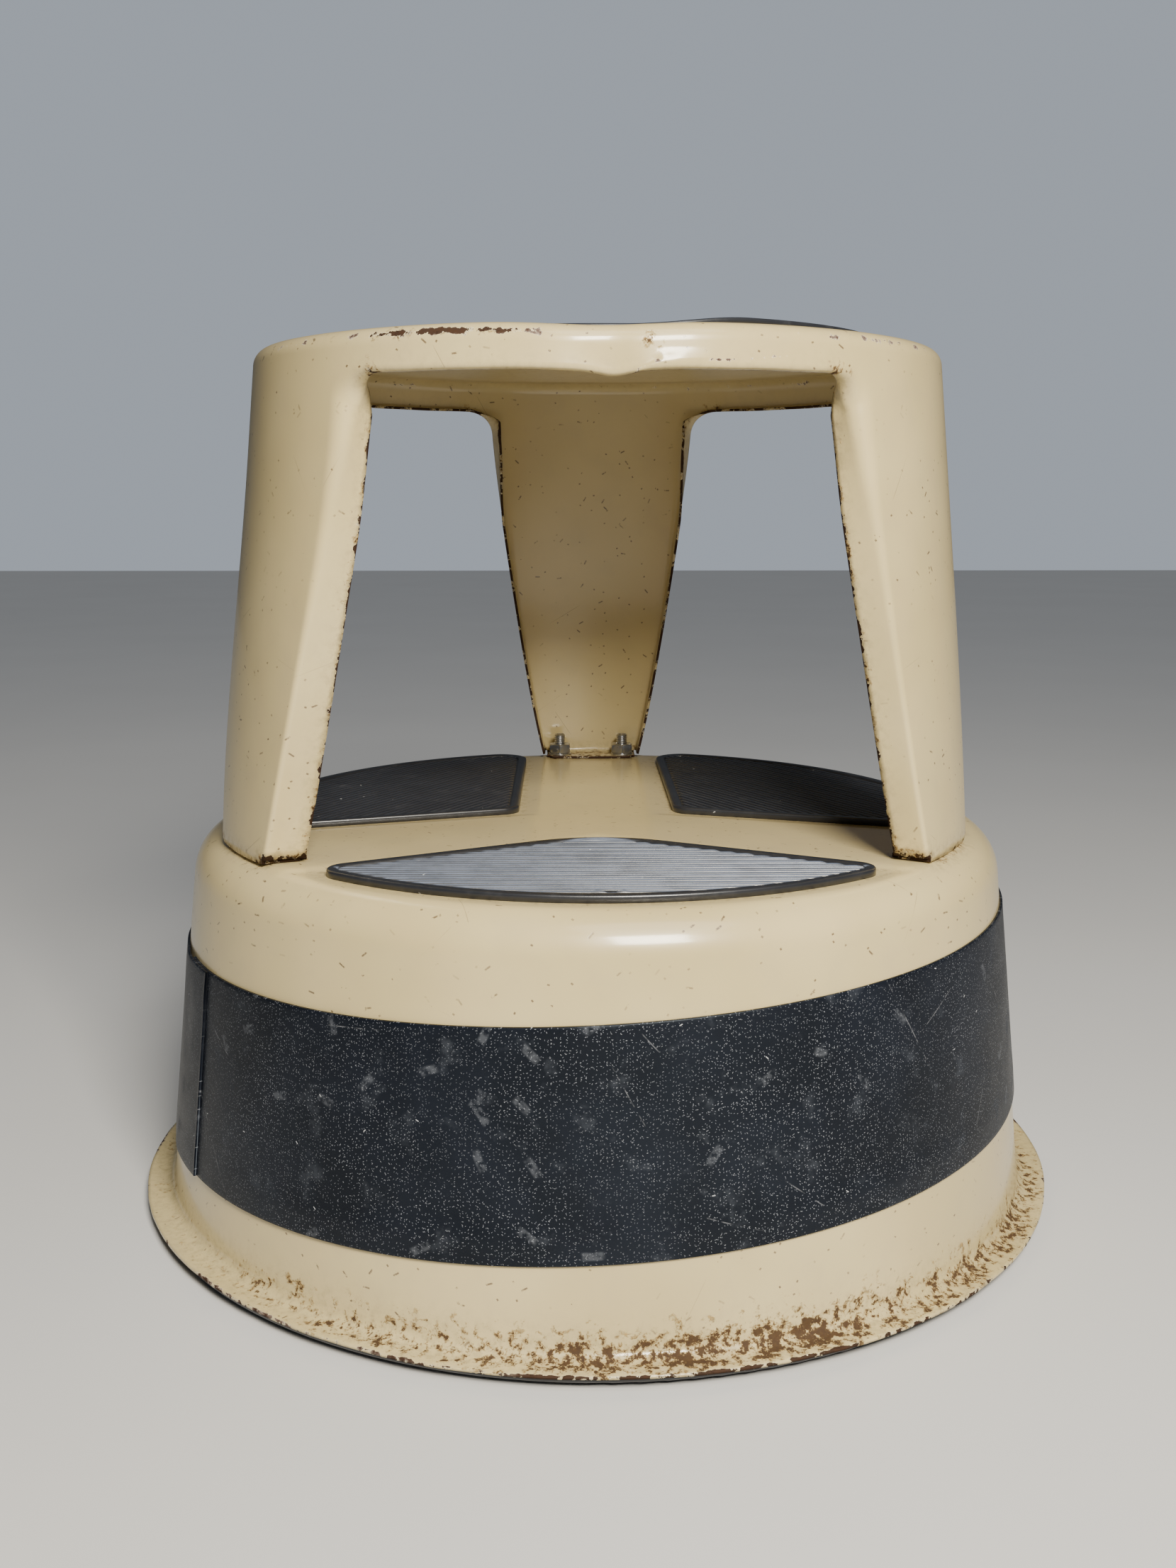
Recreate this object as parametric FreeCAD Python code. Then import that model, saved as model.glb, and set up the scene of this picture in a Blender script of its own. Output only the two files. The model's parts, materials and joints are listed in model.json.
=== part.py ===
import FreeCAD, Part
import math
import os

from FreeCAD import Vector

# Kick step stool: two pressed steel steps on three sprung swivel casters.
# Frame: origin on the floor at the centre of the base, +Z up, -Y the front.
# Leg feet, caster brackets and casters share the azimuths in LEG_TURNS.

# Driving dimensions, mm.
BASE_DIA = 406.4          # across the flared rim
TOP_Z = 361.5             # floor to the steel of the top step
STEP_Z = 162.0            # floor to the steel of the lower step
RIM_GAP = 5.0             # rim above the floor while the casters are out
SHEET = 1.2               # both steps are drawn from the same sheet
LEG_TURNS = (0, 120, 240)  # from the rear leg, degrees about +Z

# Lower step: a drum with a drawn wall and a flat lip.
WALL_R, WALL_DRAFT = 181.7, 0.106     # wall radius at mid height, and taper
WALL_R_Z = 100.0
SHOULDER_R = 18.0
RIM_FILLET = 5.0

# Upper step: a drawn cup with three windows, which leave three legs.
CUP_R, CUP_DRAFT = 144.6, 0.099       # radius at the top step, and taper
CUP_EDGE_R = 7.0
CUP_WALL = SHEET * math.hypot(1, CUP_DRAFT)   # the sheet, cut level
APRON_Z = 345.5                       # underside of the aprons
HEM = 4.5                             # apron edge turned inwards
LEG_HALF_WIDTHS = ((162.0, 25.6), (200.0, 33.2), (250.0, 41.0), (300.0, 47.8),
                   (331.5, 51.0))
CORNER_R = 16.0                       # runs out just above the apron's edge
FLANGE = 14.0                         # depth of the leg's turned-in sides
FLANGE_FOOT_Z = 164.0
FOOT_IN = 145.5                       # inner end of the foot tab
FOOT_THICK = 1.3

# Rubber treads.
TREAD = 2.2
TOP_TREAD_R = 118.0
TOP_SEAT_DEPTH = 0.9
STEP_TREAD_R = 158.0
TREAD_EDGE_R = 0.9

# Vinyl bumper band, wrapped a little askew round the drum.
BAND_Z, BAND_WIDTH, BAND_THICK = 82.0, 84.0, 1.2
BAND_TILT = 2.9
BAND_SEAM_AZ, BAND_LAP = 210.5, 8.0   # degrees

# Rubber ring under the rim.
RING_IN, RING_OUT, RING_Z = 194.0, 201.5, 2.6

# Leg fasteners, M6.
BOLT_Y, BOLT_X = 152.5, 17.0
BOLT_R, BOLT_HOLE_R = 3.0, 3.3
NUT_FLATS, NUT_H = 11.0, 5.0
WASHER_R, WASHER_H = 6.0, 1.2
BOLT_TIP = 5.5                        # thread showing above the nut
BOLT_HEAD_H = 4.0

# Caster bracket and spring socket, welded together.
BRACKET_THICK = 2.5
BRACKET_X, BRACKET_IN, BRACKET_OUT = 26.0, 112.0, 156.5
BRACKET_SKIRT = 12.0
CASTER_Y = 130.0                      # stem axis from the stool's centre
SOCKET_R, SOCKET_BORE_R = 12.0, 9.5
SOCKET_FOOT_Z = 88.0
SOCKET_LIP = 2.0

# Stem, with a collar that stops on the socket's lip.
STEM_R, COLLAR_R, PILOT_R, PIVOT_R = 6.0, 9.1, 4.0, 4.0
COLLAR_H, PILOT_H = 8.0, 12.0
STOP_GAP = 0.2
RUN_GAP = 0.05                        # radial running clearance
RACE_R, RACE_H = 13.0, 2.5

# Spring.
SPRING_R, SPRING_WIRE_R, SPRING_TURNS = 6.8, 0.9, 7

# Wheel and fork.
WHEEL_R, WHEEL_W = 25.0, 20.0
HUB_R, HUB_W = 17.5, 22.0
AXLE_R = 3.0
TRAIL = 18.0
FORK_Z, FORK_THICK, FORK_HALF_GAP = 66.2, 2.5, 11.5
FORK_CHEEK_R = 9.0

Z = Vector(0, 0, 1)
ORIGIN = Vector(0, 0, 0)
PLATE_Z = STEP_Z - SHEET              # underside of the lower step
SEAT_Z = PLATE_Z - BRACKET_THICK      # underside of the caster bracket
COLLAR_Z = SOCKET_FOOT_Z + SOCKET_LIP + STOP_GAP


def wall_r(z):
    return WALL_R + WALL_DRAFT * (WALL_R_Z - z)


def cup_r(z):
    return CUP_R + CUP_DRAFT * (TOP_Z - z)


# Shape helpers ---------------------------------------------------------

def rounded_wire(corners):
    """Closed wire in the XZ plane from (x, z, corner radius) triples."""
    points = [Vector(x, 0, z) for x, z, _ in corners]
    bends = []
    for i, (_, _, radius) in enumerate(corners):
        p = points[i]
        u = (points[i - 1] - p).normalize()
        v = (points[(i + 1) % len(points)] - p).normalize()
        half = u.getAngle(v) / 2
        if radius <= 0:
            bends.append((p, None, p))
            continue
        run = radius / math.tan(half)
        centre = p + (u + v).normalize() * (radius / math.sin(half))
        middle = centre + (p - centre).normalize() * radius
        bends.append((p + u * run, middle, p + v * run))
    edges = []
    for i, (start, middle, end) in enumerate(bends):
        if middle:
            edges.append(Part.Arc(start, middle, end).toShape())
        edges.append(Part.makeLine(end, bends[(i + 1) % len(bends)][0]))
    return Part.Wire(edges)


def sheet_corners(path):
    """A path's corners, then the same path set back by the sheet."""
    steps = [(Vector(b[0], 0, b[1]) - Vector(a[0], 0, a[1])).normalize()
             for a, b in zip(path, path[1:])]
    back = []
    for i, (x, z, radius) in enumerate(path):
        before, after = steps[max(i - 1, 0)], steps[min(i, len(steps) - 1)]
        n1, n2 = Vector(before.z, 0, -before.x), Vector(after.z, 0, -after.x)
        shift = (n1 + n2) * (SHEET / (1 + n1.dot(n2)))
        left_turn = before.x * after.z - before.z * after.x > 0
        inner = radius + SHEET if left_turn else radius - SHEET
        back.append((x + shift.x, z + shift.z, inner if radius else 0))
    return list(path) + back[::-1]


def turned(corners):
    return Part.Face(rounded_wire(corners)).revolve(ORIGIN, Z, 360)


def pressed(path):
    return turned(sheet_corners(path))


def cylinder(radius, z0, z1, x=0.0, y=0.0):
    return Part.makeCylinder(radius, z1 - z0, Vector(x, y, z0))


def frustum(radius_at, z0, z1, inset=0.0):
    return Part.makeCone(radius_at(z0) - inset, radius_at(z1) - inset,
                         z1 - z0, Vector(0, 0, z0))


def box(x0, x1, y0, y1, z0, z1):
    return Part.makeBox(x1 - x0, y1 - y0, z1 - z0, Vector(x0, y0, z0))


def hexagon(flats, z0, z1):
    """Hexagonal prism on the Z axis with two flats facing +X and -X."""
    corner = flats / math.sqrt(3)
    ring = [Vector(corner * math.cos(math.radians(a)),
                   corner * math.sin(math.radians(a)), z0)
            for a in range(30, 391, 60)]
    return Part.Face(Part.makePolygon(ring)).extrude(Z * (z1 - z0))


def spun(shape, angle, centre=ORIGIN):
    copy = shape.copy()
    copy.rotate(centre, Z, angle)
    return copy


def round_legs(shape):
    """The shape at each of the three leg azimuths."""
    return [spun(shape, turn) for turn in LEG_TURNS]


def bolt_places():
    places = []
    for turn in LEG_TURNS:
        for side in (-1, 1):
            p = Vector(side * BOLT_X, BOLT_Y, 0)
            places.append(FreeCAD.Rotation(Z, turn).multVec(p))
    return places


def on_bolts(shape_for):
    """One node made of the same piece at all six bolts."""
    pieces = []
    for p, turn in zip(bolt_places(), [t for t in LEG_TURNS for _ in (0, 1)]):
        piece = spun(shape_for(), turn)
        piece.translate(p)
        pieces.append(piece)
    return Part.makeCompound(pieces)


# Steel steps -----------------------------------------------------------

def lower_step_shell():
    lip_z = RIM_GAP + SHEET
    shell = pressed([(0, STEP_Z, 0),
                     (wall_r(STEP_Z), STEP_Z, SHOULDER_R),
                     (wall_r(lip_z), lip_z, RIM_FILLET),
                     (BASE_DIA / 2, lip_z, 0)])
    holes = [cylinder(BOLT_HOLE_R, PLATE_Z - 1, STEP_Z + 1, p.x, p.y)
             for p in bolt_places()]
    return shell.cut(Part.makeCompound(holes))


def leg_outline(inset):
    """Face of one leg, seen from outside; the inset follows the sheet."""
    side = [Vector(w - inset, 0, z) for z, w in LEG_HALF_WIDTHS]
    top_w = LEG_HALF_WIDTHS[-1][1]
    radius = CORNER_R + inset
    centre = Vector(top_w + CORNER_R, 0, side[-1].z)
    diagonal = radius / math.sqrt(2)
    corner = [side[-1], centre + Vector(-diagonal, 0, diagonal),
              centre + Vector(0, 0, radius)]
    ceiling = Vector(centre.x, 0, corner[-1].z + 4)
    curve = Part.BSplineCurve()
    curve.interpolate(side)
    half = [curve.toShape(), Part.Arc(*corner).toShape(),
            Part.makeLine(corner[-1], ceiling)]
    middle = [Part.makeLine(ceiling, Vector(0, 0, ceiling.z)),
              Part.makeLine(Vector(0, 0, side[0].z), side[0])]
    right = Part.Face(Part.Wire(Part.__sortEdges__(
        half + middle + [Part.makeLine(Vector(0, 0, ceiling.z),
                                       Vector(0, 0, side[0].z))])))
    left = right.mirror(ORIGIN, Vector(1, 0, 0))
    return right, left


def leg_prism(inset):
    """The rear leg's outline, run outwards through the cup's wall."""
    solids = []
    for face in leg_outline(inset):
        solid = face.extrude(Vector(0, 170, 0))
        solid.translate(Vector(0, 50, 0))
        solids.append(solid)
    return solids[0].fuse(solids[1]).removeSplitter()


def rear_leg():
    """Skin, two turned-in flanges and the foot tab, as one pressing."""
    whole, core = leg_prism(0.0), leg_prism(SHEET)
    top = APRON_Z + 5
    skin = pressed_cone(top).common(whole)
    rim = frustum(cup_r, FLANGE_FOOT_Z, top).cut(
        frustum(cup_r, FLANGE_FOOT_Z, top, FLANGE))
    reach = LEG_HALF_WIDTHS[-1][1] + 4
    flanges = rim.common(whole.cut(core)).common(
        box(-reach, reach, 60, 200, 0, APRON_Z))
    foot_w = LEG_HALF_WIDTHS[0][1]
    foot = box(-foot_w, foot_w, FOOT_IN, 170, STEP_Z, STEP_Z + FOOT_THICK)
    foot = foot.common(frustum(cup_r, STEP_Z, STEP_Z + 5, SHEET / 2))
    for side in (-1, 1):
        foot = foot.cut(cylinder(BOLT_HOLE_R, STEP_Z - 1, STEP_Z + 3,
                                 side * BOLT_X, BOLT_Y))
    return skin.fuse([flanges, foot])


def pressed_cone(top):
    """The cup's plain wall, from the foot up to the given height."""
    return turned([(cup_r(top), top, 0), (cup_r(STEP_Z), STEP_Z, 0),
                   (cup_r(STEP_Z) - CUP_WALL, STEP_Z, 0),
                   (cup_r(top) - CUP_WALL, top, 0)])


def top_pan():
    """Top step with its tread seat, the aprons and their hems."""
    seat_z = TOP_Z - TOP_SEAT_DEPTH
    seat_r = TOP_TREAD_R + 1.0
    pan = pressed([(0, seat_z, 0), (seat_r, seat_z, 1.0),
                   (seat_r + 1.6, TOP_Z, 2.0),
                   (cup_r(TOP_Z), TOP_Z, CUP_EDGE_R),
                   (cup_r(APRON_Z), APRON_Z, 2.4),
                   (cup_r(APRON_Z) - HEM, APRON_Z, 0)])
    inside = frustum(cup_r, APRON_Z - 2, APRON_Z + 6, CUP_WALL)
    gap = leg_prism(SHEET).common(inside)
    return pan.cut(Part.makeCompound(round_legs(gap)))


def upper_step_shell():
    return top_pan().fuse(round_legs(rear_leg())).removeSplitter()


# Rubber and vinyl ------------------------------------------------------

def soften(shape, z):
    """Round the edges of a mat's upper face."""
    edges = [e for e in shape.Edges
             if abs(e.BoundBox.ZMin - z) < 1e-4 and e.BoundBox.ZLength < 1e-4]
    return shape.makeFillet(TREAD_EDGE_R, edges)


def step_tread(corners, radii):
    """Mat cut from the step's disc; radii round its upright edges."""
    top = STEP_Z + TREAD
    outline = [Vector(x, y, STEP_Z) for x, y in corners]
    mat = Part.Face(Part.makePolygon(outline + outline[:1])).extrude(Z * TREAD)
    mat = mat.common(cylinder(STEP_TREAD_R, STEP_Z, top))
    for (x, y), radius in radii:
        upright = min((e for e in mat.Edges if e.BoundBox.ZLength > TREAD / 2),
                      key=lambda e: math.hypot(e.BoundBox.Center.x - x,
                                               e.BoundBox.Center.y - y))
        mat = mat.makeFillet(radius, [upright])
    return soften(mat, top)


def front_tread():
    apex, slope, far = Vector(0, -54.8, 0), 0.52, 200
    low = apex.y - slope * far
    tip_x = 110.9
    tip_y = -math.sqrt(STEP_TREAD_R ** 2 - tip_x ** 2)
    return step_tread([(0, apex.y), (-far, low), (0, low - far), (far, low)],
                      [((0, apex.y), 55), ((tip_x, tip_y), 9),
                       ((-tip_x, tip_y), 9)])


def rear_tread(side):
    inner = 35.0
    near_y = 0.0
    slope, far = 0.33, 200
    end_y = math.sqrt(STEP_TREAD_R ** 2 - inner ** 2)
    corners = [(inner, near_y), (far, near_y - slope * (far - inner)),
               (far, far), (inner, far)]
    return step_tread([(side * x, y) for x, y in corners],
                      [((side * inner, near_y), 9), ((side * inner, end_y), 14),
                       ((side * 152, -40), 12)])


def top_tread():
    z = TOP_Z - TOP_SEAT_DEPTH
    return soften(cylinder(TOP_TREAD_R, z, z + TREAD), z + TREAD)


def band_layer(inner, outer):
    low, high = 20.0, 145.0
    sleeve = frustum(wall_r, low, high, -outer).cut(
        frustum(wall_r, low, high, -inner))
    slab = box(-250, 250, -250, 250, -BAND_WIDTH / 2, BAND_WIDTH / 2)
    slab.rotate(ORIGIN, Vector(0, 1, 0), -BAND_TILT)
    slab.translate(Vector(0, 0, BAND_Z))
    return sleeve.common(slab)


def bumper_band():
    """A strap round the drum whose last few centimetres overlap."""
    strap = band_layer(0.0, BAND_THICK)
    lap = band_layer(BAND_THICK, 2 * BAND_THICK)
    wedge = Part.makeCylinder(260, 300, Vector(0, 0, -50), Z, BAND_LAP)
    return strap.fuse(lap.common(spun(wedge, BAND_SEAM_AZ - BAND_LAP)))


def floor_ring():
    return turned([(RING_IN, RIM_GAP, 0), (RING_OUT, RIM_GAP, 0),
                   (RING_OUT, RING_Z, 1.0), (RING_IN, RING_Z, 1.0)])


# Leg fasteners ---------------------------------------------------------

def washer():
    z = STEP_Z + FOOT_THICK
    return cylinder(WASHER_R, z, z + WASHER_H).cut(
        cylinder(BOLT_R, z, z + WASHER_H))


def nut():
    z = STEP_Z + FOOT_THICK + WASHER_H
    body = hexagon(NUT_FLATS, z, z + NUT_H)
    crown = Part.makeCone(NUT_FLATS / 2 + NUT_H, NUT_FLATS / 2 - 0.2,
                          NUT_H + 0.2, Vector(0, 0, z))
    return body.common(crown).cut(cylinder(BOLT_R, z, z + NUT_H))


def bolt():
    tip = STEP_Z + FOOT_THICK + WASHER_H + NUT_H + BOLT_TIP
    shank = cylinder(BOLT_R, SEAT_Z, tip)
    shank = shank.makeChamfer(0.6, [shank.Edges[0]])
    return shank.fuse(hexagon(NUT_FLATS - 1, SEAT_Z - BOLT_HEAD_H, SEAT_Z))


# Casters, all drawn at the rear leg ------------------------------------

def caster_bracket():
    plate = box(-BRACKET_X, BRACKET_X, BRACKET_IN, BRACKET_OUT,
                SEAT_Z, PLATE_Z)
    for side in (-1, 1):
        x0, x1 = sorted((side * BRACKET_X, side * (BRACKET_X - BRACKET_THICK)))
        plate = plate.fuse(box(x0, x1, BRACKET_IN, BRACKET_OUT,
                               SEAT_Z - BRACKET_SKIRT, SEAT_Z))
        plate = plate.cut(cylinder(BOLT_R, SEAT_Z, PLATE_Z,
                                   side * BOLT_X, BOLT_Y))
    return plate.removeSplitter()


def stem_socket():
    tube = cylinder(SOCKET_R, SOCKET_FOOT_Z, SEAT_Z, 0, CASTER_Y)
    bore = cylinder(SOCKET_BORE_R, SOCKET_FOOT_Z + SOCKET_LIP, SEAT_Z,
                    0, CASTER_Y)
    mouth = cylinder(STEM_R + RUN_GAP, SOCKET_FOOT_Z,
                     SOCKET_FOOT_Z + SOCKET_LIP, 0, CASTER_Y)
    return tube.cut(bore).cut(mouth)


def caster_stem():
    """Collar, rod, swivel pivot and its riveted head, in one turning."""
    head_top = FORK_Z - FORK_THICK - STOP_GAP
    rod_foot = FORK_Z + STOP_GAP
    collar_top = COLLAR_Z + COLLAR_H
    parts = [cylinder(COLLAR_R, COLLAR_Z, collar_top, 0, CASTER_Y),
             cylinder(PILOT_R, collar_top, collar_top + PILOT_H, 0, CASTER_Y),
             cylinder(PIVOT_R, head_top - 2.5, rod_foot, 0, CASTER_Y),
             cylinder(PIVOT_R + 2.5, head_top - 2.5, head_top, 0, CASTER_Y)]
    rod = cylinder(STEM_R, rod_foot, COLLAR_Z, 0, CASTER_Y)
    return rod.fuse(parts).removeSplitter()


def caster_race():
    """Dished cover over the swivel bearing, pressed on the stem."""
    z = FORK_Z + STOP_GAP
    dish = Part.makeCone(RACE_R, RACE_R - 3, RACE_H, Vector(0, CASTER_Y, z))
    return dish.cut(cylinder(STEM_R, z, z + RACE_H, 0, CASTER_Y))


def caster_spring():
    """Coil from the collar up to the bracket, a tilted half ring per half turn."""
    low = COLLAR_Z + COLLAR_H + SPRING_WIRE_R
    rise = (SEAT_Z - SPRING_WIRE_R - low) / (2 * SPRING_TURNS)
    ring = Part.makeTorus(math.hypot(SPRING_R, rise / 2), SPRING_WIRE_R,
                          ORIGIN, Z, 0, 360, 180)
    tilt = math.degrees(math.atan2(rise / 2, SPRING_R))
    ring.rotate(ORIGIN, Vector(0, 1, 0), tilt)
    halves = []
    for i in range(2 * SPRING_TURNS):
        half = spun(ring, 180 * i)
        half.translate(Vector(0, CASTER_Y, low + (i + 0.5) * rise))
        halves.append(half)
    return halves[0].fuse(halves[1:])


def fork_cheek():
    """One side plate, from the swivel plate down round the axle."""
    plate = FORK_Z - FORK_THICK
    reach = 13.0
    corners = [(-reach, plate, 3), (reach, plate, 3),
               (TRAIL + FORK_CHEEK_R, WHEEL_R + 4, 6),
               (TRAIL + FORK_CHEEK_R, WHEEL_R - FORK_CHEEK_R, FORK_CHEEK_R - 1),
               (TRAIL - FORK_CHEEK_R, WHEEL_R - FORK_CHEEK_R, FORK_CHEEK_R - 1),
               (TRAIL - FORK_CHEEK_R, WHEEL_R + 4, 6)]
    face = Part.Face(rounded_wire(corners))
    face.rotate(ORIGIN, Z, 90)
    cheek = face.extrude(Vector(FORK_THICK, 0, 0))
    bore = Part.makeCylinder(AXLE_R, FORK_THICK, Vector(0, TRAIL, WHEEL_R),
                             Vector(1, 0, 0))
    return cheek.cut(bore)


def caster_fork():
    """Pressed fork: a swivel plate and two cheeks, trailing outwards."""
    wide = FORK_HALF_GAP + FORK_THICK
    plate = box(-wide, wide, -13, 13, FORK_Z - FORK_THICK, FORK_Z)
    plate = plate.cut(cylinder(PIVOT_R + RUN_GAP, 0, 100))
    right = fork_cheek()
    right.translate(Vector(FORK_HALF_GAP, 0, 0))
    left = fork_cheek()
    left.translate(Vector(-wide, 0, 0))
    fork = plate.fuse([right, left]).removeSplitter()
    fork.translate(Vector(0, CASTER_Y, 0))
    return fork


def along_axle(shape):
    """Move a piece drawn about the Z axis onto the wheel's axle."""
    shape.rotate(ORIGIN, Vector(0, 1, 0), 90)
    shape.translate(Vector(0, CASTER_Y + TRAIL, WHEEL_R))
    return shape


def caster_axle():
    """Bolt with its head outside one cheek."""
    wide = FORK_HALF_GAP + FORK_THICK
    head = hexagon(9.0, -wide - 3, -wide)
    return along_axle(cylinder(AXLE_R, -wide, wide + 5.5).fuse(head))


def caster_axle_nut():
    wide = FORK_HALF_GAP + FORK_THICK
    return along_axle(hexagon(9.0, wide, wide + 4).cut(
        cylinder(AXLE_R, wide, wide + 4)))


def caster_hub():
    """Web wheel centre with a long boss, free to turn on the axle."""
    half = HUB_W / 2
    return along_axle(turned([
        (AXLE_R + RUN_GAP, -half, 0), (7, -half, 0.8), (7, -3.5, 1.5),
        (14, -3.5, 1.5), (14, -8, 0.8), (HUB_R, -8, 0), (HUB_R, 8, 0),
        (14, 8, 0.8), (14, 3.5, 1.5), (7, 3.5, 1.5), (7, half, 0.8),
        (AXLE_R + RUN_GAP, half, 0)]))


def caster_tyre():
    half = WHEEL_W / 2
    return along_axle(turned([(HUB_R, -8, 0), (HUB_R + 2, -half, 2),
                              (WHEEL_R, -half, 4), (WHEEL_R, half, 4),
                              (HUB_R + 2, half, 2), (HUB_R, 8, 0)]))


# Nodes -----------------------------------------------------------------

NODES = {
    "upper_step_shell": upper_step_shell(),
    "lower_step_shell": lower_step_shell(),
    "top_tread": top_tread(),
    "front_tread": front_tread(),
    "rear_left_tread": rear_tread(-1),
    "rear_right_tread": rear_tread(1),
    "bumper_band": bumper_band(),
    "floor_ring": floor_ring(),
    "leg_bolts": on_bolts(bolt),
    "leg_washers": on_bolts(washer),
    "leg_nuts": on_bolts(nut),
}

CASTER_PIECES = {
    "caster_bracket": caster_bracket,
    "stem_socket": stem_socket,
    "caster_stem": caster_stem,
    "caster_race": caster_race,
    "caster_spring": caster_spring,
    "caster_fork": caster_fork,
    "caster_axle": caster_axle,
    "caster_axle_nut": caster_axle_nut,
    "caster_hub": caster_hub,
    "caster_tyre": caster_tyre,
}

for piece, make in CASTER_PIECES.items():
    for number, shape in enumerate(round_legs(make()), 1):
        NODES[f"{piece}_{number}"] = shape

os.makedirs("parts", exist_ok=True)
for node, shape in NODES.items():
    shape.exportStep(f"parts/{node}.step")
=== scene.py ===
"""Looks for the kick step stool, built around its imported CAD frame.

Lengths are in metres, in the CAD's own frame: the origin is on the floor at
the centre of the base, +Z is up and -Y is the front. The two pressed steps,
the treads, the band and the leg fasteners are rebuilt here as finer meshes
in the CAD's places. The ring and the casters keep their CAD meshes and get
materials.
"""

import json
import math
from functools import reduce

import bpy
import numpy as np
from mathutils import Matrix, Vector, kdtree


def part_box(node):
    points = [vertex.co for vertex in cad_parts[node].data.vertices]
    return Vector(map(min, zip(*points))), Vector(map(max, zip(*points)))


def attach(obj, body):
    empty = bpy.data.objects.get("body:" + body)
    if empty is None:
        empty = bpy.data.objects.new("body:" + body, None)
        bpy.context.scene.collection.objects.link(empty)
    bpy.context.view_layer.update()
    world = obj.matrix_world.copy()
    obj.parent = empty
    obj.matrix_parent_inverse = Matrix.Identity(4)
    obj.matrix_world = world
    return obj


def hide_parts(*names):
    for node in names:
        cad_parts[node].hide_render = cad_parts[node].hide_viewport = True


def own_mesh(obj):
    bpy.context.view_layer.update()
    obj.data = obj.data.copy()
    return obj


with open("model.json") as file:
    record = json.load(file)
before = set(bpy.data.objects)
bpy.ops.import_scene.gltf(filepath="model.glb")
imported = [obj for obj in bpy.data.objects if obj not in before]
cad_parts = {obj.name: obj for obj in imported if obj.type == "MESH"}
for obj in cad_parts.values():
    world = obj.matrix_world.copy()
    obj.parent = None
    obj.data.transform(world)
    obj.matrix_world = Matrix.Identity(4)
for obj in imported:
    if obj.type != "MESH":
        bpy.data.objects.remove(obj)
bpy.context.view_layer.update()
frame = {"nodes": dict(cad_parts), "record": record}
MM = 0.001
TAU = 2 * math.pi

# Places from the CAD.
CUP_LOW, CUP_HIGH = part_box("upper_step_shell")
DRUM_LOW, DRUM_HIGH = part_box("lower_step_shell")
MAT_LOW, MAT_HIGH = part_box("top_tread")
NUT_LOW, NUT_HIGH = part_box("leg_nuts")
BOLT_LOW, BOLT_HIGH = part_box("leg_bolts")
WASHER_LOW, WASHER_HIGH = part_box("leg_washers")
TOP_Z, FOOT_Z = CUP_HIGH.z, CUP_LOW.z
STEP_Z, RIM_Z, RIM_R = DRUM_HIGH.z, DRUM_LOW.z, DRUM_HIGH.x

# The pressings' own shapes, as the CAD has them.
SHEET = 1.2 * MM
CUP_DRAFT, CUP_FOOT_R = 0.099, 164.35 * MM
CUP_EDGE_R = 7 * MM
APRON_Z, CORNER_Z = 345.5 * MM, 331.5 * MM
LEG_HEIGHTS = np.array([162.0, 200.0, 250.0, 300.0, 331.5]) * MM
LEG_HALF_WIDTHS = np.array([25.6, 33.2, 41.0, 47.8, 51.0]) * MM
FLANGE, HEM, CORNER_HEM = 14 * MM, 4.5 * MM, 2.6 * MM
FLANGE_FOOT_Z = 164 * MM
FOOT_IN, FOOT_BEND = 145.5 * MM, 2 * MM
WALL_R, WALL_DRAFT, WALL_R_Z = 181.7 * MM, 0.106, 100 * MM
SHOULDER_R, RIM_FILLET = 18 * MM, 5 * MM
BAND_MIDDLE, BAND_WIDTH, BAND_THICK = 82 * MM, 84 * MM, 1.2 * MM
BAND_TILT, BAND_SEAM_AZ, BAND_LAP = math.radians(2.9), 210.5, 8.0
TREAD_R = 158 * MM
BOLT_X, BOLT_Y = 17 * MM, 152.5 * MM
LEG_TURNS = (0, 120, 240)


# --- Small numeric helpers ---

def smooth(value, low, high):
    t = np.clip((np.asarray(value) - low) / (high - low), 0, 1)
    return t * t * (3 - 2 * t)


def bump(value, centre, spread):
    return np.exp(-((np.asarray(value) - centre) / spread) ** 2)


def azimuth(points):
    """Degrees from the front (-Y), positive towards +X."""
    return np.degrees(np.arctan2(points[..., 0], -points[..., 1]))


def waves(phase, seed, counts, size):
    """A smooth closed wobble round the axis, with its own seed."""
    own = np.random.default_rng(seed)
    total = np.zeros_like(phase)
    for n in counts:
        total += own.normal() / n * np.sin(n * phase + own.uniform(0, TAU))
    return size * total


def circle(count):
    return np.linspace(0, TAU, count, endpoint=False)


def stack(*coordinates):
    """Points from coordinate arrays, which may broadcast."""
    return np.stack(np.broadcast_arrays(*coordinates), -1)


def around(turn):
    """Flat points at these angles, one from the centre."""
    return stack(np.cos(turn), np.sin(turn))


def turn_z(points, degrees):
    a = math.radians(degrees)
    x, y = points[..., 0], points[..., 1]
    return stack(x * math.cos(a) - y * math.sin(a),
                 x * math.sin(a) + y * math.cos(a), points[..., 2])


# --- Mesh building ---

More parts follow.
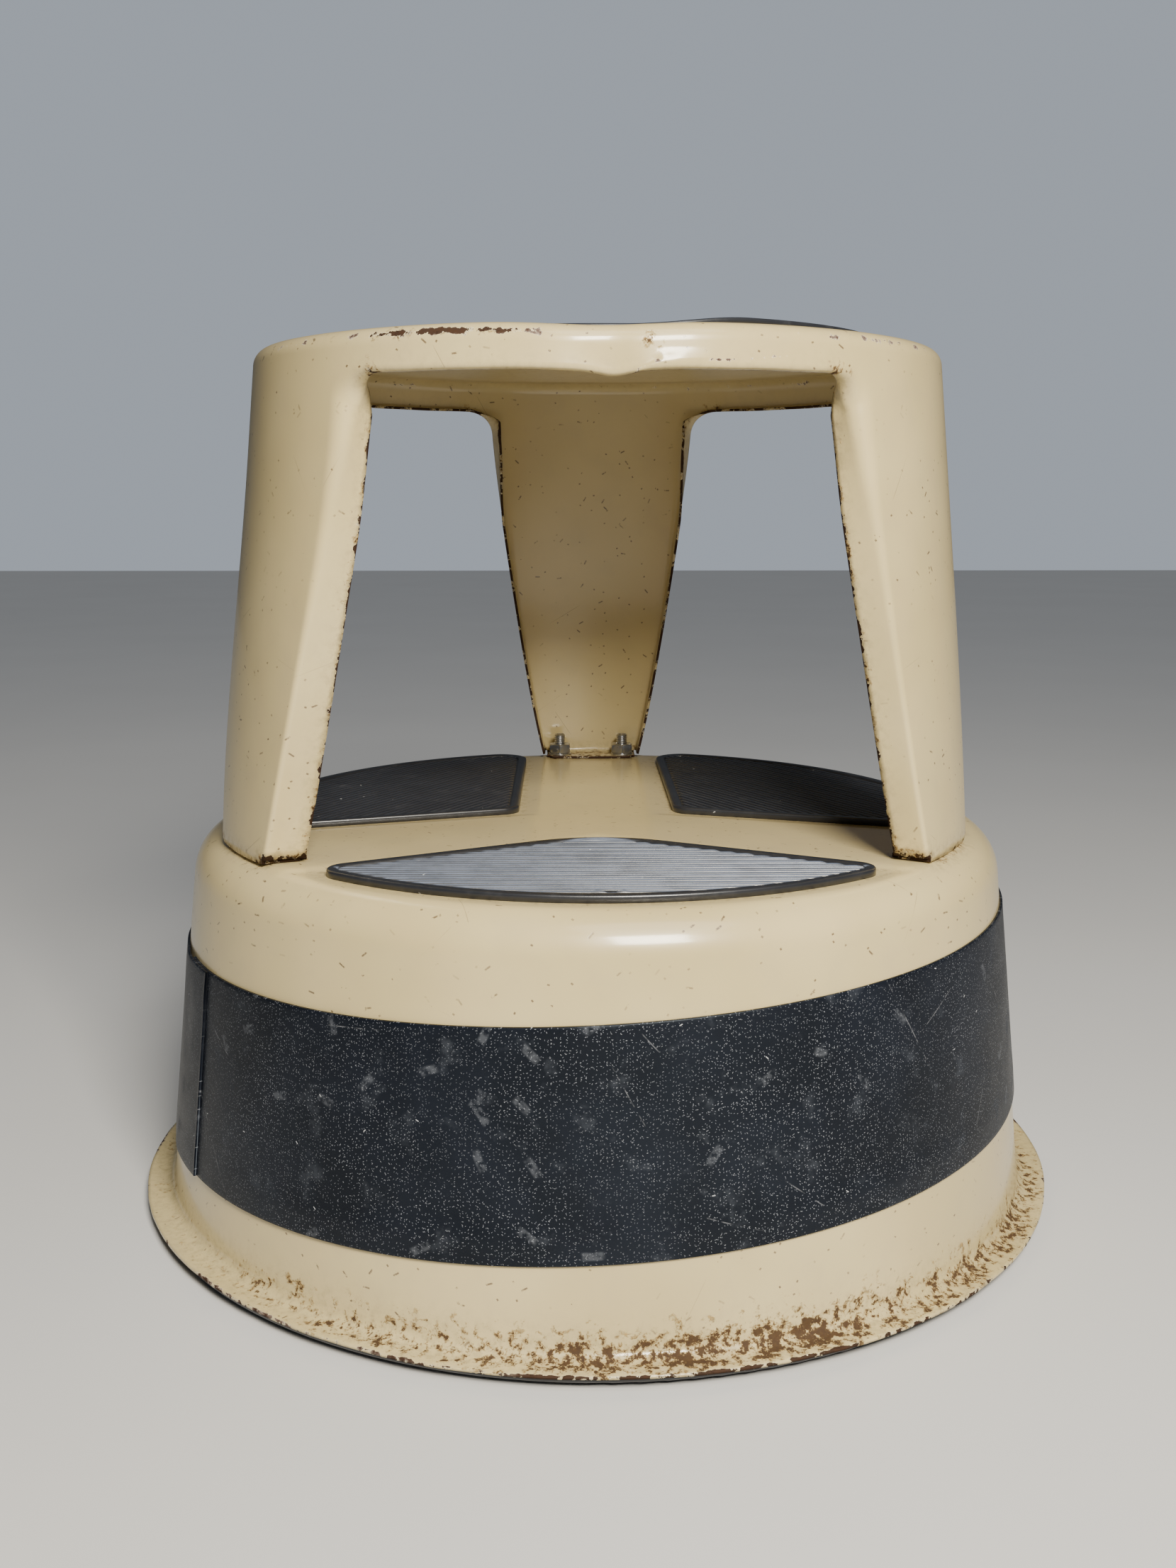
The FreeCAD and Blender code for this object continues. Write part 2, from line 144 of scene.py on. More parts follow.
class Skin:
    """Grids of points gathered into one mesh."""

    def __init__(self):
        self.points, self.faces, self.count = [], [], 0

    def grid(self, points, flip=False, loop_rows=False, loop_cols=False):
        """Faces over a (rows, columns, 3) array."""
        rows, cols = points.shape[:2]
        index = self.count + np.arange(rows * cols).reshape(rows, cols)
        if loop_rows:
            index = np.vstack([index, index[:1]])
        if loop_cols:
            index = np.hstack([index, index[:, :1]])
        quads = np.stack([index[:-1, :-1], index[:-1, 1:],
                          index[1:, 1:], index[1:, :-1]], -1).reshape(-1, 4)
        self.faces.append(quads[:, ::-1] if flip else quads)
        self.points.append(points.reshape(-1, 3))
        self.count += rows * cols
        return index

    def fan(self, row, centre, flip=False):
        """Triangles from a row of point numbers to one new point."""
        self.points.append(np.array([centre]))
        fan = [[a, b, self.count] for a, b in zip(row, row[1:])]
        self.faces.append([face[::-1] if flip else face for face in fan])
        self.count += 1

    def cap(self, ring, flip=False):
        """One polygon over a ring of point numbers."""
        ring = [int(i) for i in ring]
        self.faces.append([ring[::-1] if flip else ring])

    def build(self, name, weld=False):
        faces = [tuple(int(i) for i in f) for part in self.faces for f in part]
        mesh = bpy.data.meshes.new(name)
        mesh.from_pydata(np.vstack(self.points).tolist(), [], faces)
        obj = bpy.data.objects.new(name, mesh)
        bpy.context.scene.collection.objects.link(obj)
        if weld:
            modify(obj, "WELD", merge_threshold=0.02 * MM)
        mesh = obj.data
        mesh.polygons.foreach_set("use_smooth", [True] * len(mesh.polygons))
        return obj


def modify(obj, kind, **settings):
    """Apply one modifier for good."""
    modifier = obj.modifiers.new(kind.title(), kind)
    for key, value in settings.items():
        setattr(modifier, key, value)
    graph = bpy.context.evaluated_depsgraph_get()
    mesh = bpy.data.meshes.new_from_object(obj.evaluated_get(graph))
    obj.modifiers.clear()
    old, obj.data = obj.data, mesh
    bpy.data.meshes.remove(old)
    mesh.name = obj.name


def thickened(obj):
    """A pressing's outer skin, given the sheet's thickness inwards."""
    modify(obj, "SOLIDIFY", thickness=SHEET, offset=-1.0, use_even_offset=True)
    return obj


def coordinates(obj):
    flat = np.empty(len(obj.data.vertices) * 3)
    obj.data.vertices.foreach_get("co", flat)
    return flat.reshape(-1, 3)


def masks(obj, **named):
    """Values per point that the materials read by name."""
    for name, values in named.items():
        layer = obj.data.attributes.new(name, "FLOAT", "POINT")
        layer.data.foreach_set("value", np.asarray(values, np.float32))


def settle(obj, slot, node):
    """Put a finished piece in a CAD node's place on the stool's body."""
    obj.data.materials.clear()
    obj.data.materials.append(FINISHES[slot])
    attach(obj, "stool")
    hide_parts(node)


# --- Materials ---

# A Mix node's colour sockets, whose names its other types share.
MIX_A, MIX_B, MIX_RESULT = 6, 7, 2
LEVEL_NORMAL = 0.7                # a face's normal rises this much if level
DRUM_MEAN_R = 185 * MM
LONG_FADE, WIDE_FADE = 0.6, 0.5   # where a fleck starts to fade


class Finish:
    """A node material under construction."""

    def __init__(self, name):
        self.material = bpy.data.materials.new(name)
        self.material.use_nodes = True
        self.tree = self.material.node_tree
        self.tree.nodes.clear()
        self.shader = self.add("ShaderNodeBsdfPrincipled")
        output = self.add("ShaderNodeOutputMaterial")
        self.tree.links.new(self.shader.outputs[0], output.inputs["Surface"])
        self.place = self.add("ShaderNodeTexCoord").outputs["Object"]

    def add(self, kind, inputs=(), **settings):
        """A new node, with its settings made and then its inputs fed."""
        node = self.tree.nodes.new(kind)
        for key, value in settings.items():
            setattr(node, key, value)
        for key, value in dict(inputs).items():
            self.feed(node.inputs[key], value)
        return node

    def feed(self, socket, value):
        if isinstance(value, bpy.types.NodeSocket):
            self.tree.links.new(value, socket)
        elif socket.type == "RGBA":
            socket.default_value = (*value, 1.0)
        else:
            socket.default_value = value

    def set(self, name, value):
        self.feed(self.shader.inputs[name], value)

    def calc(self, operation, a, b=0.0):
        return self.add("ShaderNodeMath", {0: a, 1: b},
                        operation=operation).outputs[0]

    def plus(self, *values):
        return reduce(lambda a, b: self.calc("ADD", a, b), values)

    def times(self, *values):
        return reduce(lambda a, b: self.calc("MULTIPLY", a, b), values)

    def most(self, *values):
        return reduce(lambda a, b: self.calc("MAXIMUM", a, b), values)

    def minus(self, a, b):
        return self.calc("SUBTRACT", a, b)

    def between(self, a, b, share):
        return self.plus(a, self.times(share, self.minus(b, a)))

    def vector(self, operation, a, b=(0, 0, 0)):
        node = self.add("ShaderNodeVectorMath", {0: a, 1: b}, operation=operation)
        return node.outputs["Value" if operation in ("DOT_PRODUCT", "LENGTH")
                            else "Vector"]

    def split(self, vector):
        return self.add("ShaderNodeSeparateXYZ", {0: vector}).outputs

    def join(self, x, y):
        return self.add("ShaderNodeCombineXYZ", {0: x, 1: y}).outputs[0]

    def mask(self, name):
        return self.add("ShaderNodeAttribute",
                        attribute_name=name).outputs["Fac"]

    def noise(self, scale, detail=4.0, roughness=0.55, at=None, offset=0.0):
        """Noise of that many features per metre, from 0 to 1."""
        at = at or self.place
        if offset:
            at = self.vector("ADD", at, (offset, offset, offset))
        return self.add("ShaderNodeTexNoise", {
            "Vector": at, "Scale": scale, "Detail": detail,
            "Roughness": roughness}).outputs["Fac"]

    def step(self, value, low, high):
        """Smooth 0 to 1 as the value goes from low to high."""
        return self.add("ShaderNodeMapRange", {
            "Value": value, "From Min": low, "From Max": high},
            interpolation_type="SMOOTHSTEP").outputs["Result"]

    def blots(self, low, high, *noise, **where):
        """Noise, sharpened between two of its levels."""
        return self.step(self.noise(*noise, **where), low, high)

    def span(self, value, low, high):
        """A 0 to 1 value spread over another range."""
        return self.add("ShaderNodeMapRange", {
            "Value": value, "To Min": low, "To Max": high}).outputs["Result"]

    def lay(self, colour, over, *shares):
        """A colour with another over it, by the product of the shares."""
        return self.add("ShaderNodeMix", {
            "Factor": self.times(*shares), MIX_A: colour, MIX_B: over},
            data_type="RGBA").outputs[MIX_RESULT]

    def unrolled(self):
        """Arc length round the drum and height, as a flat place."""
        x, y, z = self.split(self.place)
        turn = self.calc("ARCTAN2", x, self.times(y, -1.0))
        return self.join(self.times(turn, DRUM_MEAN_R), z)

    def facing(self):
        """The two coordinates that lie most nearly in the surface."""
        normal = self.add("ShaderNodeTexCoord").outputs["Normal"]
        normal_x, normal_y, normal_z = self.split(self.vector("ABSOLUTE", normal))
        x, y, z = self.split(self.place)
        level = self.calc("GREATER_THAN", normal_z, LEVEL_NORMAL)
        sideways = self.times(self.calc("GREATER_THAN", normal_x, normal_y),
                              self.minus(1.0, level))
        return self.join(self.between(x, y, sideways), self.between(z, y, level))

    def flecks(self, density, length, width, share, offset=0.0, flat=None):
        """Short straight marks in random places and directions.

        One mark at most in each cell of 1/density metres; share is the
        part of the cells that have one. Half length and half width are in
        millimetres. With flat, the marks lie in it.
        """
        at = self.vector("ADD", flat or self.place,
                         (offset, offset, 0 if flat else offset))
        cells = self.add("ShaderNodeTexVoronoi", {
            "Vector": at, "Scale": density, "Randomness": 1.0}, feature="F1",
            voronoi_dimensions="2D" if flat else "3D")
        colour = cells.outputs["Color"]
        local = self.vector("SUBTRACT", at, cells.outputs["Position"])
        heading = self.vector("SUBTRACT", colour, (0.5, 0.5, 0.5))
        if flat:
            heading = self.vector("MULTIPLY", heading, (1.0, 1.0, 0.0))
            local = self.vector("MULTIPLY", local, (1.0, 1.0, 0.0))
        heading = self.vector("NORMALIZE", heading)
        along = self.calc("ABSOLUTE", self.vector("DOT_PRODUCT", local, heading))
        distance = self.vector("LENGTH", local)
        across = self.calc("SQRT", self.most(
            self.minus(self.times(distance, distance), self.times(along, along)),
            0.0))
        red = self.add("ShaderNodeSeparateColor", {0: colour}).outputs[0]
        length, width = length * MM, width * MM
        fade = self.times(self.step(along, length, length * LONG_FADE),
                          self.step(across, width, width * WIDE_FADE))
        return self.times(self.calc("LESS_THAN", red, share), fade)

    def relief(self, *layers):
        """Bumps from (height, depth in millimetres) pairs."""
        below = {}
        for height, depth in layers:
            node = self.add("ShaderNodeBump", {
                "Strength": 1.0, "Distance": depth * MM, "Height": height,
                **below})
            below = {"Normal": node.outputs["Normal"]}
        self.set("Normal", below["Normal"])


CREAM = (0.585, 0.476, 0.245)
CREAM_DEEP = (0.51, 0.408, 0.198)
CREAM_DULL = (0.42, 0.34, 0.21)
CREAM_PALE = (0.80, 0.74, 0.58)
PRIMER = (0.105, 0.070, 0.055)
PRIMER_PALE = (0.30, 0.235, 0.19)
BARE = (0.034, 0.023, 0.018)
RUST_PALE = (0.38, 0.225, 0.072)
RUST_BROWN = (0.15, 0.078, 0.028)
RUST_DARK = (0.060, 0.027, 0.012)
RUST_BLACK = (0.045, 0.026, 0.016)
GRIME = (0.115, 0.085, 0.055)
MARK = (0.10, 0.062, 0.036)


def enamel(name):
    """Old semi-gloss beige enamel, chipped, scratched and rusty."""
    f = Finish(name)
    wear, rust, grime = f.mask("wear"), f.mask("rust"), f.mask("grime")
    colour = f.lay(CREAM, CREAM_DEEP, f.blots(0.35, 0.7, 9, 3))
    dull = f.blots(0.45, 0.8, 60, 5, offset=2)
    colour = f.lay(colour, CREAM_DULL, dull, 0.22)
    dirt = f.times(grime, f.blots(0.40, 0.72, 300, 7, 0.7, offset=5))
    colour = f.lay(colour, GRIME, dirt, 0.7)

    stain_field = f.blots(0.32, 0.68, 290, 8, 0.72, offset=9)
    cloud = f.noise(95, 4, 0.6, offset=15)
    rusty = f.plus(f.times(stain_field, 0.40), f.times(cloud, 0.38),
                   f.times(rust, 0.30))
    rusting = f.step(rust, 0.03, 0.16)
    stain = f.times(rusting, f.step(rusty, 0.58, 0.68))
    core = f.times(rusting, f.step(rusty, 0.67, 0.71))
    grain = f.blots(0.42, 0.60, 620, 5, 0.65)
    colour = f.lay(colour, f.lay(RUST_PALE, RUST_BROWN, grain), stain, 0.62)
    dark = f.lay(RUST_DARK, BARE, f.noise(700, 3, offset=3))
    colour = f.lay(colour, dark, core, 0.92)

    flat = f.facing()
    tiny = f.flecks(150, 0.55, 0.44, 0.34, offset=3.1, flat=flat)
    ticks = f.flecks(88, 1.5, 0.42, 0.34, offset=8.7, flat=flat)
    hairs = f.flecks(24, 11, 0.16, 0.42, offset=1.9, flat=flat)
    patchy = f.blots(0.40, 0.56, 22, 3, offset=13)
    ragged = f.blots(0.34, 0.50, 620, 4, 0.6, offset=12)
    specks = f.blots(0.735, 0.765, 300, 3, 0.55, offset=4)
    marks = f.most(
        f.times(f.most(tiny, ticks), f.span(patchy, 0.25, 1.0), ragged),
        f.times(specks, 0.85), f.times(hairs, patchy, 0.5))
    colour = f.lay(colour, MARK, marks, 0.85)

    worn = f.plus(f.noise(170, 6, 0.62, offset=1), f.times(wear, 0.55))
    chipped = f.step(worn, 0.785, 0.80)
    colour = f.lay(colour, CREAM_PALE, f.step(worn, 0.765, 0.785), 0.5)
    under = f.lay(PRIMER, PRIMER_PALE,
                  f.blots(0.4, 0.62, 320, 4, offset=6))
    under = f.lay(under, RUST_BLACK, f.step(rust, 0.12, 0.40))
    colour = f.lay(colour, under, chipped)
    colour = f.lay(colour, f.lay(BARE, RUST_DARK, f.noise(500, 3)),
                   f.step(worn, 0.835, 0.87))
    f.set("Base Color", colour)

    matt = f.most(chipped, stain, f.times(dirt, 0.7))
    f.set("Roughness", f.plus(f.span(f.noise(40, 4, offset=7), 0.26, 0.40),
                              f.times(matt, 0.38)))
    f.set("Specular IOR Level", f.minus(0.4, f.times(matt, 0.3)))
    f.set("Coat Weight", f.minus(0.6, f.times(matt, 0.6)))
    f.set("Coat Roughness", 0.13)
    f.relief((f.noise(330, 2), 0.02), (f.noise(14, 2), 0.35),
             (f.minus(1.0, chipped), 0.10),
             (f.times(stain_field, stain), 0.10),
             (f.minus(1.0, marks), 0.03))
    return f.material


def vinyl(name):
    """Charcoal strap with pale flecks, scuffs and hair scratches."""
    f = Finish(name)
    flat = f.unrolled()
    colour = f.lay((0.0030, 0.0040, 0.0072), (0.0060, 0.0078, 0.0135),
                   f.blots(0.35, 0.7, 25, 4))
    scuff = f.blots(0.55, 0.74, 75, 6, 0.62, at=flat)
    smear = f.flecks(48, 4.6, 2.0, 0.34, offset=7.3, flat=flat)
    worn = f.blots(0.35, 0.62, 420, 4, offset=2)
    fine = f.flecks(860, 0.28, 0.13, 0.55, flat=flat)
    mid = f.flecks(560, 0.36, 0.14, 0.36, offset=2.3, flat=flat)
    large = f.flecks(95, 0.75, 0.22, 0.07, offset=4.9, flat=flat)
    thick = f.span(f.blots(0.36, 0.66, 28, 4, offset=3), 0.50, 1.0)
    hairs = f.most(
        f.flecks(30, 14, 0.26, 0.36, offset=5.9, flat=flat),
        f.flecks(17, 26, 0.30, 0.30, offset=11.3, flat=flat))
    broken = f.blots(0.42, 0.6, 240, 4, offset=6)
    for over, *shares in (((0.072, 0.080, 0.096), scuff, 0.30),
                          ((0.30, 0.32, 0.36), smear, worn, 0.15),
                          ((0.33, 0.35, 0.40), fine, thick, 0.38),
                          ((0.44, 0.46, 0.50), mid, thick, 0.42),
                          ((0.52, 0.53, 0.55), large, 0.75),
                          ((0.20, 0.205, 0.22), hairs, broken, 0.42)):
        colour = f.lay(colour, over, *shares)
    f.set("Base Color", colour)
    f.set("Roughness", f.plus(f.span(f.noise(70, 5, offset=8), 0.34, 0.50),
                              f.times(scuff, 0.15)))
    f.set("Specular IOR Level", 0.24)
    f.set("Specular Tint", (0.80, 0.90, 1.0))
    f.relief((f.noise(900, 3), 0.05), (f.noise(22, 2), 0.25),
             (f.minus(1.0, hairs), 0.02))
    return f.material


def mat_rubber(name, dust):
    """Black moulded rubber; dust is how grey its film makes it; the rib tops
    carry a painted pale blue sheen.
    """
    f = Finish(name)
    colour = f.lay((0.010, 0.011, 0.014), (0.021, 0.022, 0.027),
                   f.noise(35, 5))
    film = f.blots(0.52, 0.8, 80, 6, 0.65, offset=3)
    colour = f.lay(colour, (0.15, 0.15, 0.155), film, dust)
    specks = f.flecks(210, 0.7, 0.35, 0.16, offset=4.4)
    colour = f.lay(colour, (0.5, 0.5, 0.5), specks, 0.5)
    # Painted sheen: a pale blue colour laid in patches on the rib tops stands for
    # light glinting off them, with a little polish from wear.
    patchy_sheen = f.span(f.blots(0.3, 0.65, 70, 5, offset=6), 0.55, 1.0)
    colour = f.lay(colour, (0.29, 0.345, 0.47), f.mask("trodden"), patchy_sheen)
    f.set("Base Color", colour)
    f.set("Roughness", f.span(f.noise(60, 4, offset=9), 0.24, 0.38))
    f.set("Specular IOR Level", 0.65)
    f.relief((f.noise(1100, 2), 0.02))
    return f.material


def tyre_rubber(name):
    """Dusty dark grey rubber."""
    f = Finish(name)
    colour = f.lay((0.028, 0.028, 0.029), (0.055, 0.053, 0.05), f.noise(60, 5))
    dust = f.blots(0.5, 0.72, 190, 5, 0.6, offset=2)
    f.set("Base Color", f.lay(colour, (0.16, 0.14, 0.12), dust, 0.4))
    f.set("Roughness", f.span(f.noise(90, 3), 0.55, 0.78))
    f.relief((f.noise(600, 3), 0.06))
    return f.material


def steel(name, colour, low, high, rust):
    """Plated or bare steel with fine grain and a little rust."""
    f = Finish(name)
    shade = f.lay(colour, tuple(0.72 * c for c in colour), f.noise(90, 4))
    spots = f.blots(0.70 - rust, 0.82 - rust, 260, 6, 0.65, offset=5)
    f.set("Base Color", f.lay(shade, (0.17, 0.085, 0.04), spots))
    f.set("Metallic", f.minus(1.0, f.times(spots, 0.9)))
    grain = f.noise(1, 4, at=f.vector("MULTIPLY", f.place, (300, 300, 2600)))
    f.set("Roughness", f.plus(f.span(grain, low, high), f.times(spots, 0.35)))
    f.relief((grain, 0.015), (spots, 0.05))
    return f.material


def hub_plastic(name):
    """Black moulded plastic."""
    f = Finish(name)
    f.set("Base Color", f.lay((0.030, 0.030, 0.032), (0.06, 0.058, 0.055),
                              f.noise(120, 4)))
    f.set("Roughness", f.span(f.noise(200, 3), 0.42, 0.6))
    f.relief((f.noise(900, 2), 0.02))
    return f.material


# One finish for each material slot of the record.
FINISHES = {
    "beige_paint": enamel("beige_enamel"),
    "band_vinyl": vinyl("charcoal_vinyl"),
    "tread_rubber": mat_rubber("tread_rubber", 0.16),
    "ring_rubber": mat_rubber("ring_rubber", 0.30),
    "tyre_rubber": tyre_rubber("tyre_rubber"),
    "zinc_steel": steel("zinc_plate", (0.60, 0.61, 0.63), 0.22, 0.42, 0.06),
    "bare_steel": steel("bare_steel", (0.34, 0.335, 0.33), 0.34, 0.55, 0.13),
    "turned_steel": steel("turned_steel", (0.50, 0.50, 0.50), 0.20, 0.36, 0.04),
    "hub_plastic": hub_plastic("hub_plastic")}


# --- Upper step: a drawn cup, its legs and their turned-in sides ---

def cup_radius(z):
    foot = np.clip((FOOT_Z + FOOT_BEND - z) / FOOT_BEND, 0, 1)
    tuck = FOOT_BEND * (1 - np.sqrt(1 - 0.75 * foot ** 2))
    return CUP_FOOT_R - CUP_DRAFT * (z - FOOT_Z) - tuck


def on_cup(phi, z):
    """Point on the cup's wall, phi being measured from the leg's centre."""
    r = cup_radius(z)
    return stack(r * np.sin(phi), r * np.cos(phi), z)


LEG_CURVE = np.polyfit(LEG_HEIGHTS - FOOT_Z, LEG_HALF_WIDTHS, 4)
CORNER_R = APRON_Z - CORNER_Z
SIXTH = math.pi / 3           # from a leg's middle to a window's middle
LEG_ROWS, CORNER_ROWS, APRON_ROWS, WALL_COLUMNS = 42, 14, 75, 23


def fold_line():
    """The window's folded edge, from the foot to the window's middle.

    Returns angle, height, and the point counts of leg and corner.
    """
    leg_z = np.append(FOOT_Z, np.linspace(FLANGE_FOOT_Z, CORNER_Z, LEG_ROWS))
    turn = np.linspace(0, math.pi / 2, CORNER_ROWS + 1)[1:]
    side = np.polyval(LEG_CURVE, leg_z - FOOT_Z)
    lateral = np.append(side, side[-1] + CORNER_R * (1 - np.cos(turn)))
    height = np.append(leg_z, CORNER_Z + CORNER_R * np.sin(turn))
    phi = np.arcsin(lateral / cup_radius(height))
    apron = np.linspace(phi[-1], SIXTH, APRON_ROWS + 1)[1:]
    return (np.append(phi, apron), np.append(height, 0 * apron + APRON_Z),
            len(leg_z), len(turn))


def outer_line(leg, corner, apron, edge_z):
    """Where the wall meets the leg's middle line and the top's rounding."""
    leg_z = np.linspace(FOOT_Z, edge_z - 14 * MM, leg)
    first = corner // 2
    rise = np.linspace(leg_z[-1], edge_z, first + 1)[1:]
    spread = np.linspace(0, math.radians(11), corner - first + 1)[1:]
    along = np.linspace(spread[-1], SIXTH, apron + 1)[1:]
    phi = np.concatenate([0 * leg_z, 0 * rise, spread, along])
    z = np.concatenate([leg_z, rise, 0 * spread + edge_z, 0 * along + edge_z])
    return phi, z


def half_leg():
    """Grids of half a leg and half an apron, with the leg along +Y."""
    phi, z, leg, corner = fold_line()
    apron = len(phi) - leg - corner
    fold = on_cup(phi, z)
    tangent = np.gradient(fold, axis=0)
    tangent /= np.linalg.norm(tangent, axis=1, keepdims=True)
    outward = stack(np.sin(phi), np.cos(phi), CUP_DRAFT)
    into_window = np.cross(outward, tangent)
    into_window /= np.linalg.norm(into_window, axis=1, keepdims=True)
    # From the leg (0) round the corner to the apron (1).
    share = np.concatenate([np.zeros(leg), np.linspace(0, 1, corner),
                            np.ones(apron)])[:, None]
    inward = (1 - share) * np.array([0, -1.0, 0]) - share * stack(
        np.sin(phi), np.cos(phi), 0)
    rise = np.clip((z - FOOT_Z) / (CORNER_Z - FOOT_Z), 0, 1)[:, None]
    bend = ((1.8 + 3.8 * rise ** 3 + 16 * share * (1 - share)) * (1 - share)
            + 2.4 * share) * MM

    start = fold - into_window * bend
    start_phi = np.arctan2(start[:, 0], start[:, 1])
    edge_z = TOP_Z - CUP_EDGE_R * (1 - math.sin(math.atan(CUP_DRAFT)))
    out_phi, out_z = outer_line(leg, corner, apron, edge_z)
    u = np.linspace(0, 1, WALL_COLUMNS)[None, :] ** 1.25
    wall = on_cup(start_phi[:, None] * (1 - u) + out_phi[:, None] * u,
                  start[:, 2:] * (1 - u) + out_z[:, None] * u)

    # The fold itself, and the flange or hem behind it.
    start = wall[:, 0]
    t = np.linspace(0, 1, 9)[None, :, None]
    turned = fold + inward * bend
    curl = (start[:, None] * (1 - t) ** 2 + fold[:, None] * 2 * t * (1 - t)
            + turned[:, None] * t ** 2)
    depth = np.where(share < 1, FLANGE, HEM)
    depth[leg + corner:, 0] = CORNER_HEM + (HEM - CORNER_HEM) * smooth(
        np.arange(1, 1 + apron), 0, 5)
    tip = fold + inward * depth
    tip[:leg, 0] -= 3.6 * MM * smooth(z[:leg], 286 * MM, 332 * MM)
    up = np.linspace(0, 1, corner + 1)[1:, None]
    straight = tip[leg - 1] + np.hstack(
        [-0.4 * MM * up, 1.5 * MM * up, 12.5 * MM * np.sin(up * 1.5)])
    ending = smooth(up, 0.5, 1.0)
    corner_fold = (fold + CORNER_HEM * inward)[leg:leg + corner]
    tip[leg:leg + corner] = straight * (1 - ending) + corner_fold * ending
    run = np.linspace(0, 1, 6)[None, 1:, None]
    flange = turned[:, None] * (1 - run) + tip[:, None] * run
    strip = np.concatenate([curl, flange], 1)

    # The foot tab, turned in under the leg.
    inwards = np.linspace(0, 1, 14)[1:, None, None]
    corner_cut = 4 * MM * smooth(wall[:1, :, 0], 20 * MM, 23 * MM) ** 2
    foot = wall[:1] + 0 * inwards
    foot[..., 1] += inwards[..., 0] * (FOOT_IN + corner_cut - wall[:1, :, 1])
    tab = np.concatenate([wall[:1], foot])
    return (wall, strip[1:leg + corner], strip[leg + corner - 1:], tab,
            out_phi, edge_z)


def top_grid(phi, edge_z):
    """The rounding, the rim, the seat's step and the seat, over one sixth."""
    draft = math.atan(CUP_DRAFT)
    corner_r = cup_radius(TOP_Z)
    centre_r = corner_r - CUP_EDGE_R * math.tan((math.pi / 2 - draft) / 2)
    angles = np.linspace(draft, math.pi / 2, 12)
    seat_r = MAT_HIGH.x + 1.0 * MM
    seat_z = MAT_LOW.z
    radii = np.concatenate([
        centre_r + CUP_EDGE_R * np.cos(angles),
        np.linspace(centre_r, seat_r + 2.2 * MM, 5)[1:],
        seat_r + np.array([1.6, 1.1, 0.6, 0.2, -0.4]) * MM,
        np.linspace(seat_r - 3 * MM, 8 * MM, 13)])
    drop = TOP_Z - seat_z
    heights = np.concatenate([
        TOP_Z - CUP_EDGE_R * (1 - np.sin(angles)), np.full(4, TOP_Z),
        TOP_Z - drop * np.array([0.06, 0.35, 0.72, 0.95, 1.0]),
        np.full(13, seat_z)])
    return stack(radii[:, None] * np.sin(phi), radii[:, None] * np.cos(phi),
                 heights[:, None])


# Damage to the front: where the apron is pushed in, the sharp crease right
# of the pit, the scuff that runs on from it, and the bent left leg.
DENT_X, LEFT_SPLAY = 2.5 * MM, 3.0 * MM
CREASE = np.array([(9, 345), (17.5, 348.5)]) * MM
SCUFF = np.array([(17, 348.4), (30, 348.0), (52, 349.0), (66, 350.6)]) * MM


def dented(points):
    """The front apron's dent, the sagging edge and small wobbles."""
    x, y, z = points.T
    out = points.copy()
    front = smooth(-y, 95 * MM, 125 * MM) * smooth(z, 330 * MM, 342 * MM)
    low = 1 - smooth(z, 346 * MM, 361 * MM)
    pit = bump(x, DENT_X, np.where(x < DENT_X, 12 * MM, 8 * MM))
    broad = bump(x, DENT_X - 3 * MM, 27 * MM)
    crease = x - CREASE[0][0] - 2.3 * np.clip(z - CREASE[0][1], 0, 4 * MM)
    lifted = smooth(crease, -0.5 * MM, 1.2 * MM) * (
        1 - smooth(crease, 4 * MM, 22 * MM)) * (
        1 - smooth(z, 348 * MM, 353 * MM))
    out[:, 1] += front * MM * (2.4 * pit * (0.3 + 0.7 * low) + 1.1 * broad
                               - 0.8 * lifted)
    out[:, 2] -= front * MM * (low * (1.7 * bump(x, 3.2 * MM, 7.5 * MM)
                                      + 1.2 * broad)
                               + (1 - low) * 1.5 * bump(x, -1 * MM, 26 * MM))
    phase = np.arctan2(x, -y)
    reach = np.hypot(x, y)
    sway = waves(phase, 3, (2, 3, 5, 8, 13), 0.55 * MM) * smooth(
        reach, 105 * MM, 150 * MM)
    out[:, 0] += sway * np.sin(phase)
    out[:, 1] -= sway * np.cos(phase)
    flutter = waves(phase + 14 * z, 5, (9, 17, 31), 1.1 * MM)
    hem = smooth(z, 349 * MM, 346 * MM) * smooth(z, 335 * MM, 344 * MM)
    out[:, 2] += flutter * hem
    splayed = smooth(-x, 90 * MM, 110 * MM) * smooth(-y, 0, 30 * MM)
    near_wall = smooth(reach - cup_radius(z), -13 * MM, -4 * MM)
    out[:, 0] -= LEFT_SPLAY * splayed * near_wall * smooth(
        z, 320 * MM, 175 * MM)
    return out


def upper_step():
    skin = Skin()
    wall, flange, hem, tab, out_phi, edge_z = half_leg()
    top = top_grid(np.unique(np.round(out_phi, 9)), edge_z)
    for turn in LEG_TURNS:
        for side in (1, -1):
            for grid, inside in ((wall, False), (flange, True), (hem, True),
                                 (tab, True), (top, True)):
                placed = turn_z(grid * np.array([side, 1, 1]), turn)
                index = skin.grid(placed, flip=(side < 0) != inside)
            skin.fan(index[-1], (0, 0, MAT_LOW.z), flip=side > 0)
    obj = skin.build("upper_step", weld=True)
    plain = coordinates(obj)
    edge = edge_distance(obj)
    obj.data.vertices.foreach_set("co", dented(plain).ravel())
    upper_masks(obj, plain, edge)
    return thickened(obj)


def edge_distance(obj):
    """How far each point is from the sheet's nearest cut edge."""
    uses = {}
    for polygon in obj.data.polygons:
        for key in polygon.edge_keys:
            uses[key] = uses.get(key, 0) + 1
    rim = sorted({v for key, n in uses.items() if n == 1 for v in key})
    tree = kdtree.KDTree(len(rim))
    for i in rim:
        tree.insert(obj.data.vertices[i].co, i)
    tree.balance()
    return np.array([tree.find(v.co)[2] for v in obj.data.vertices])


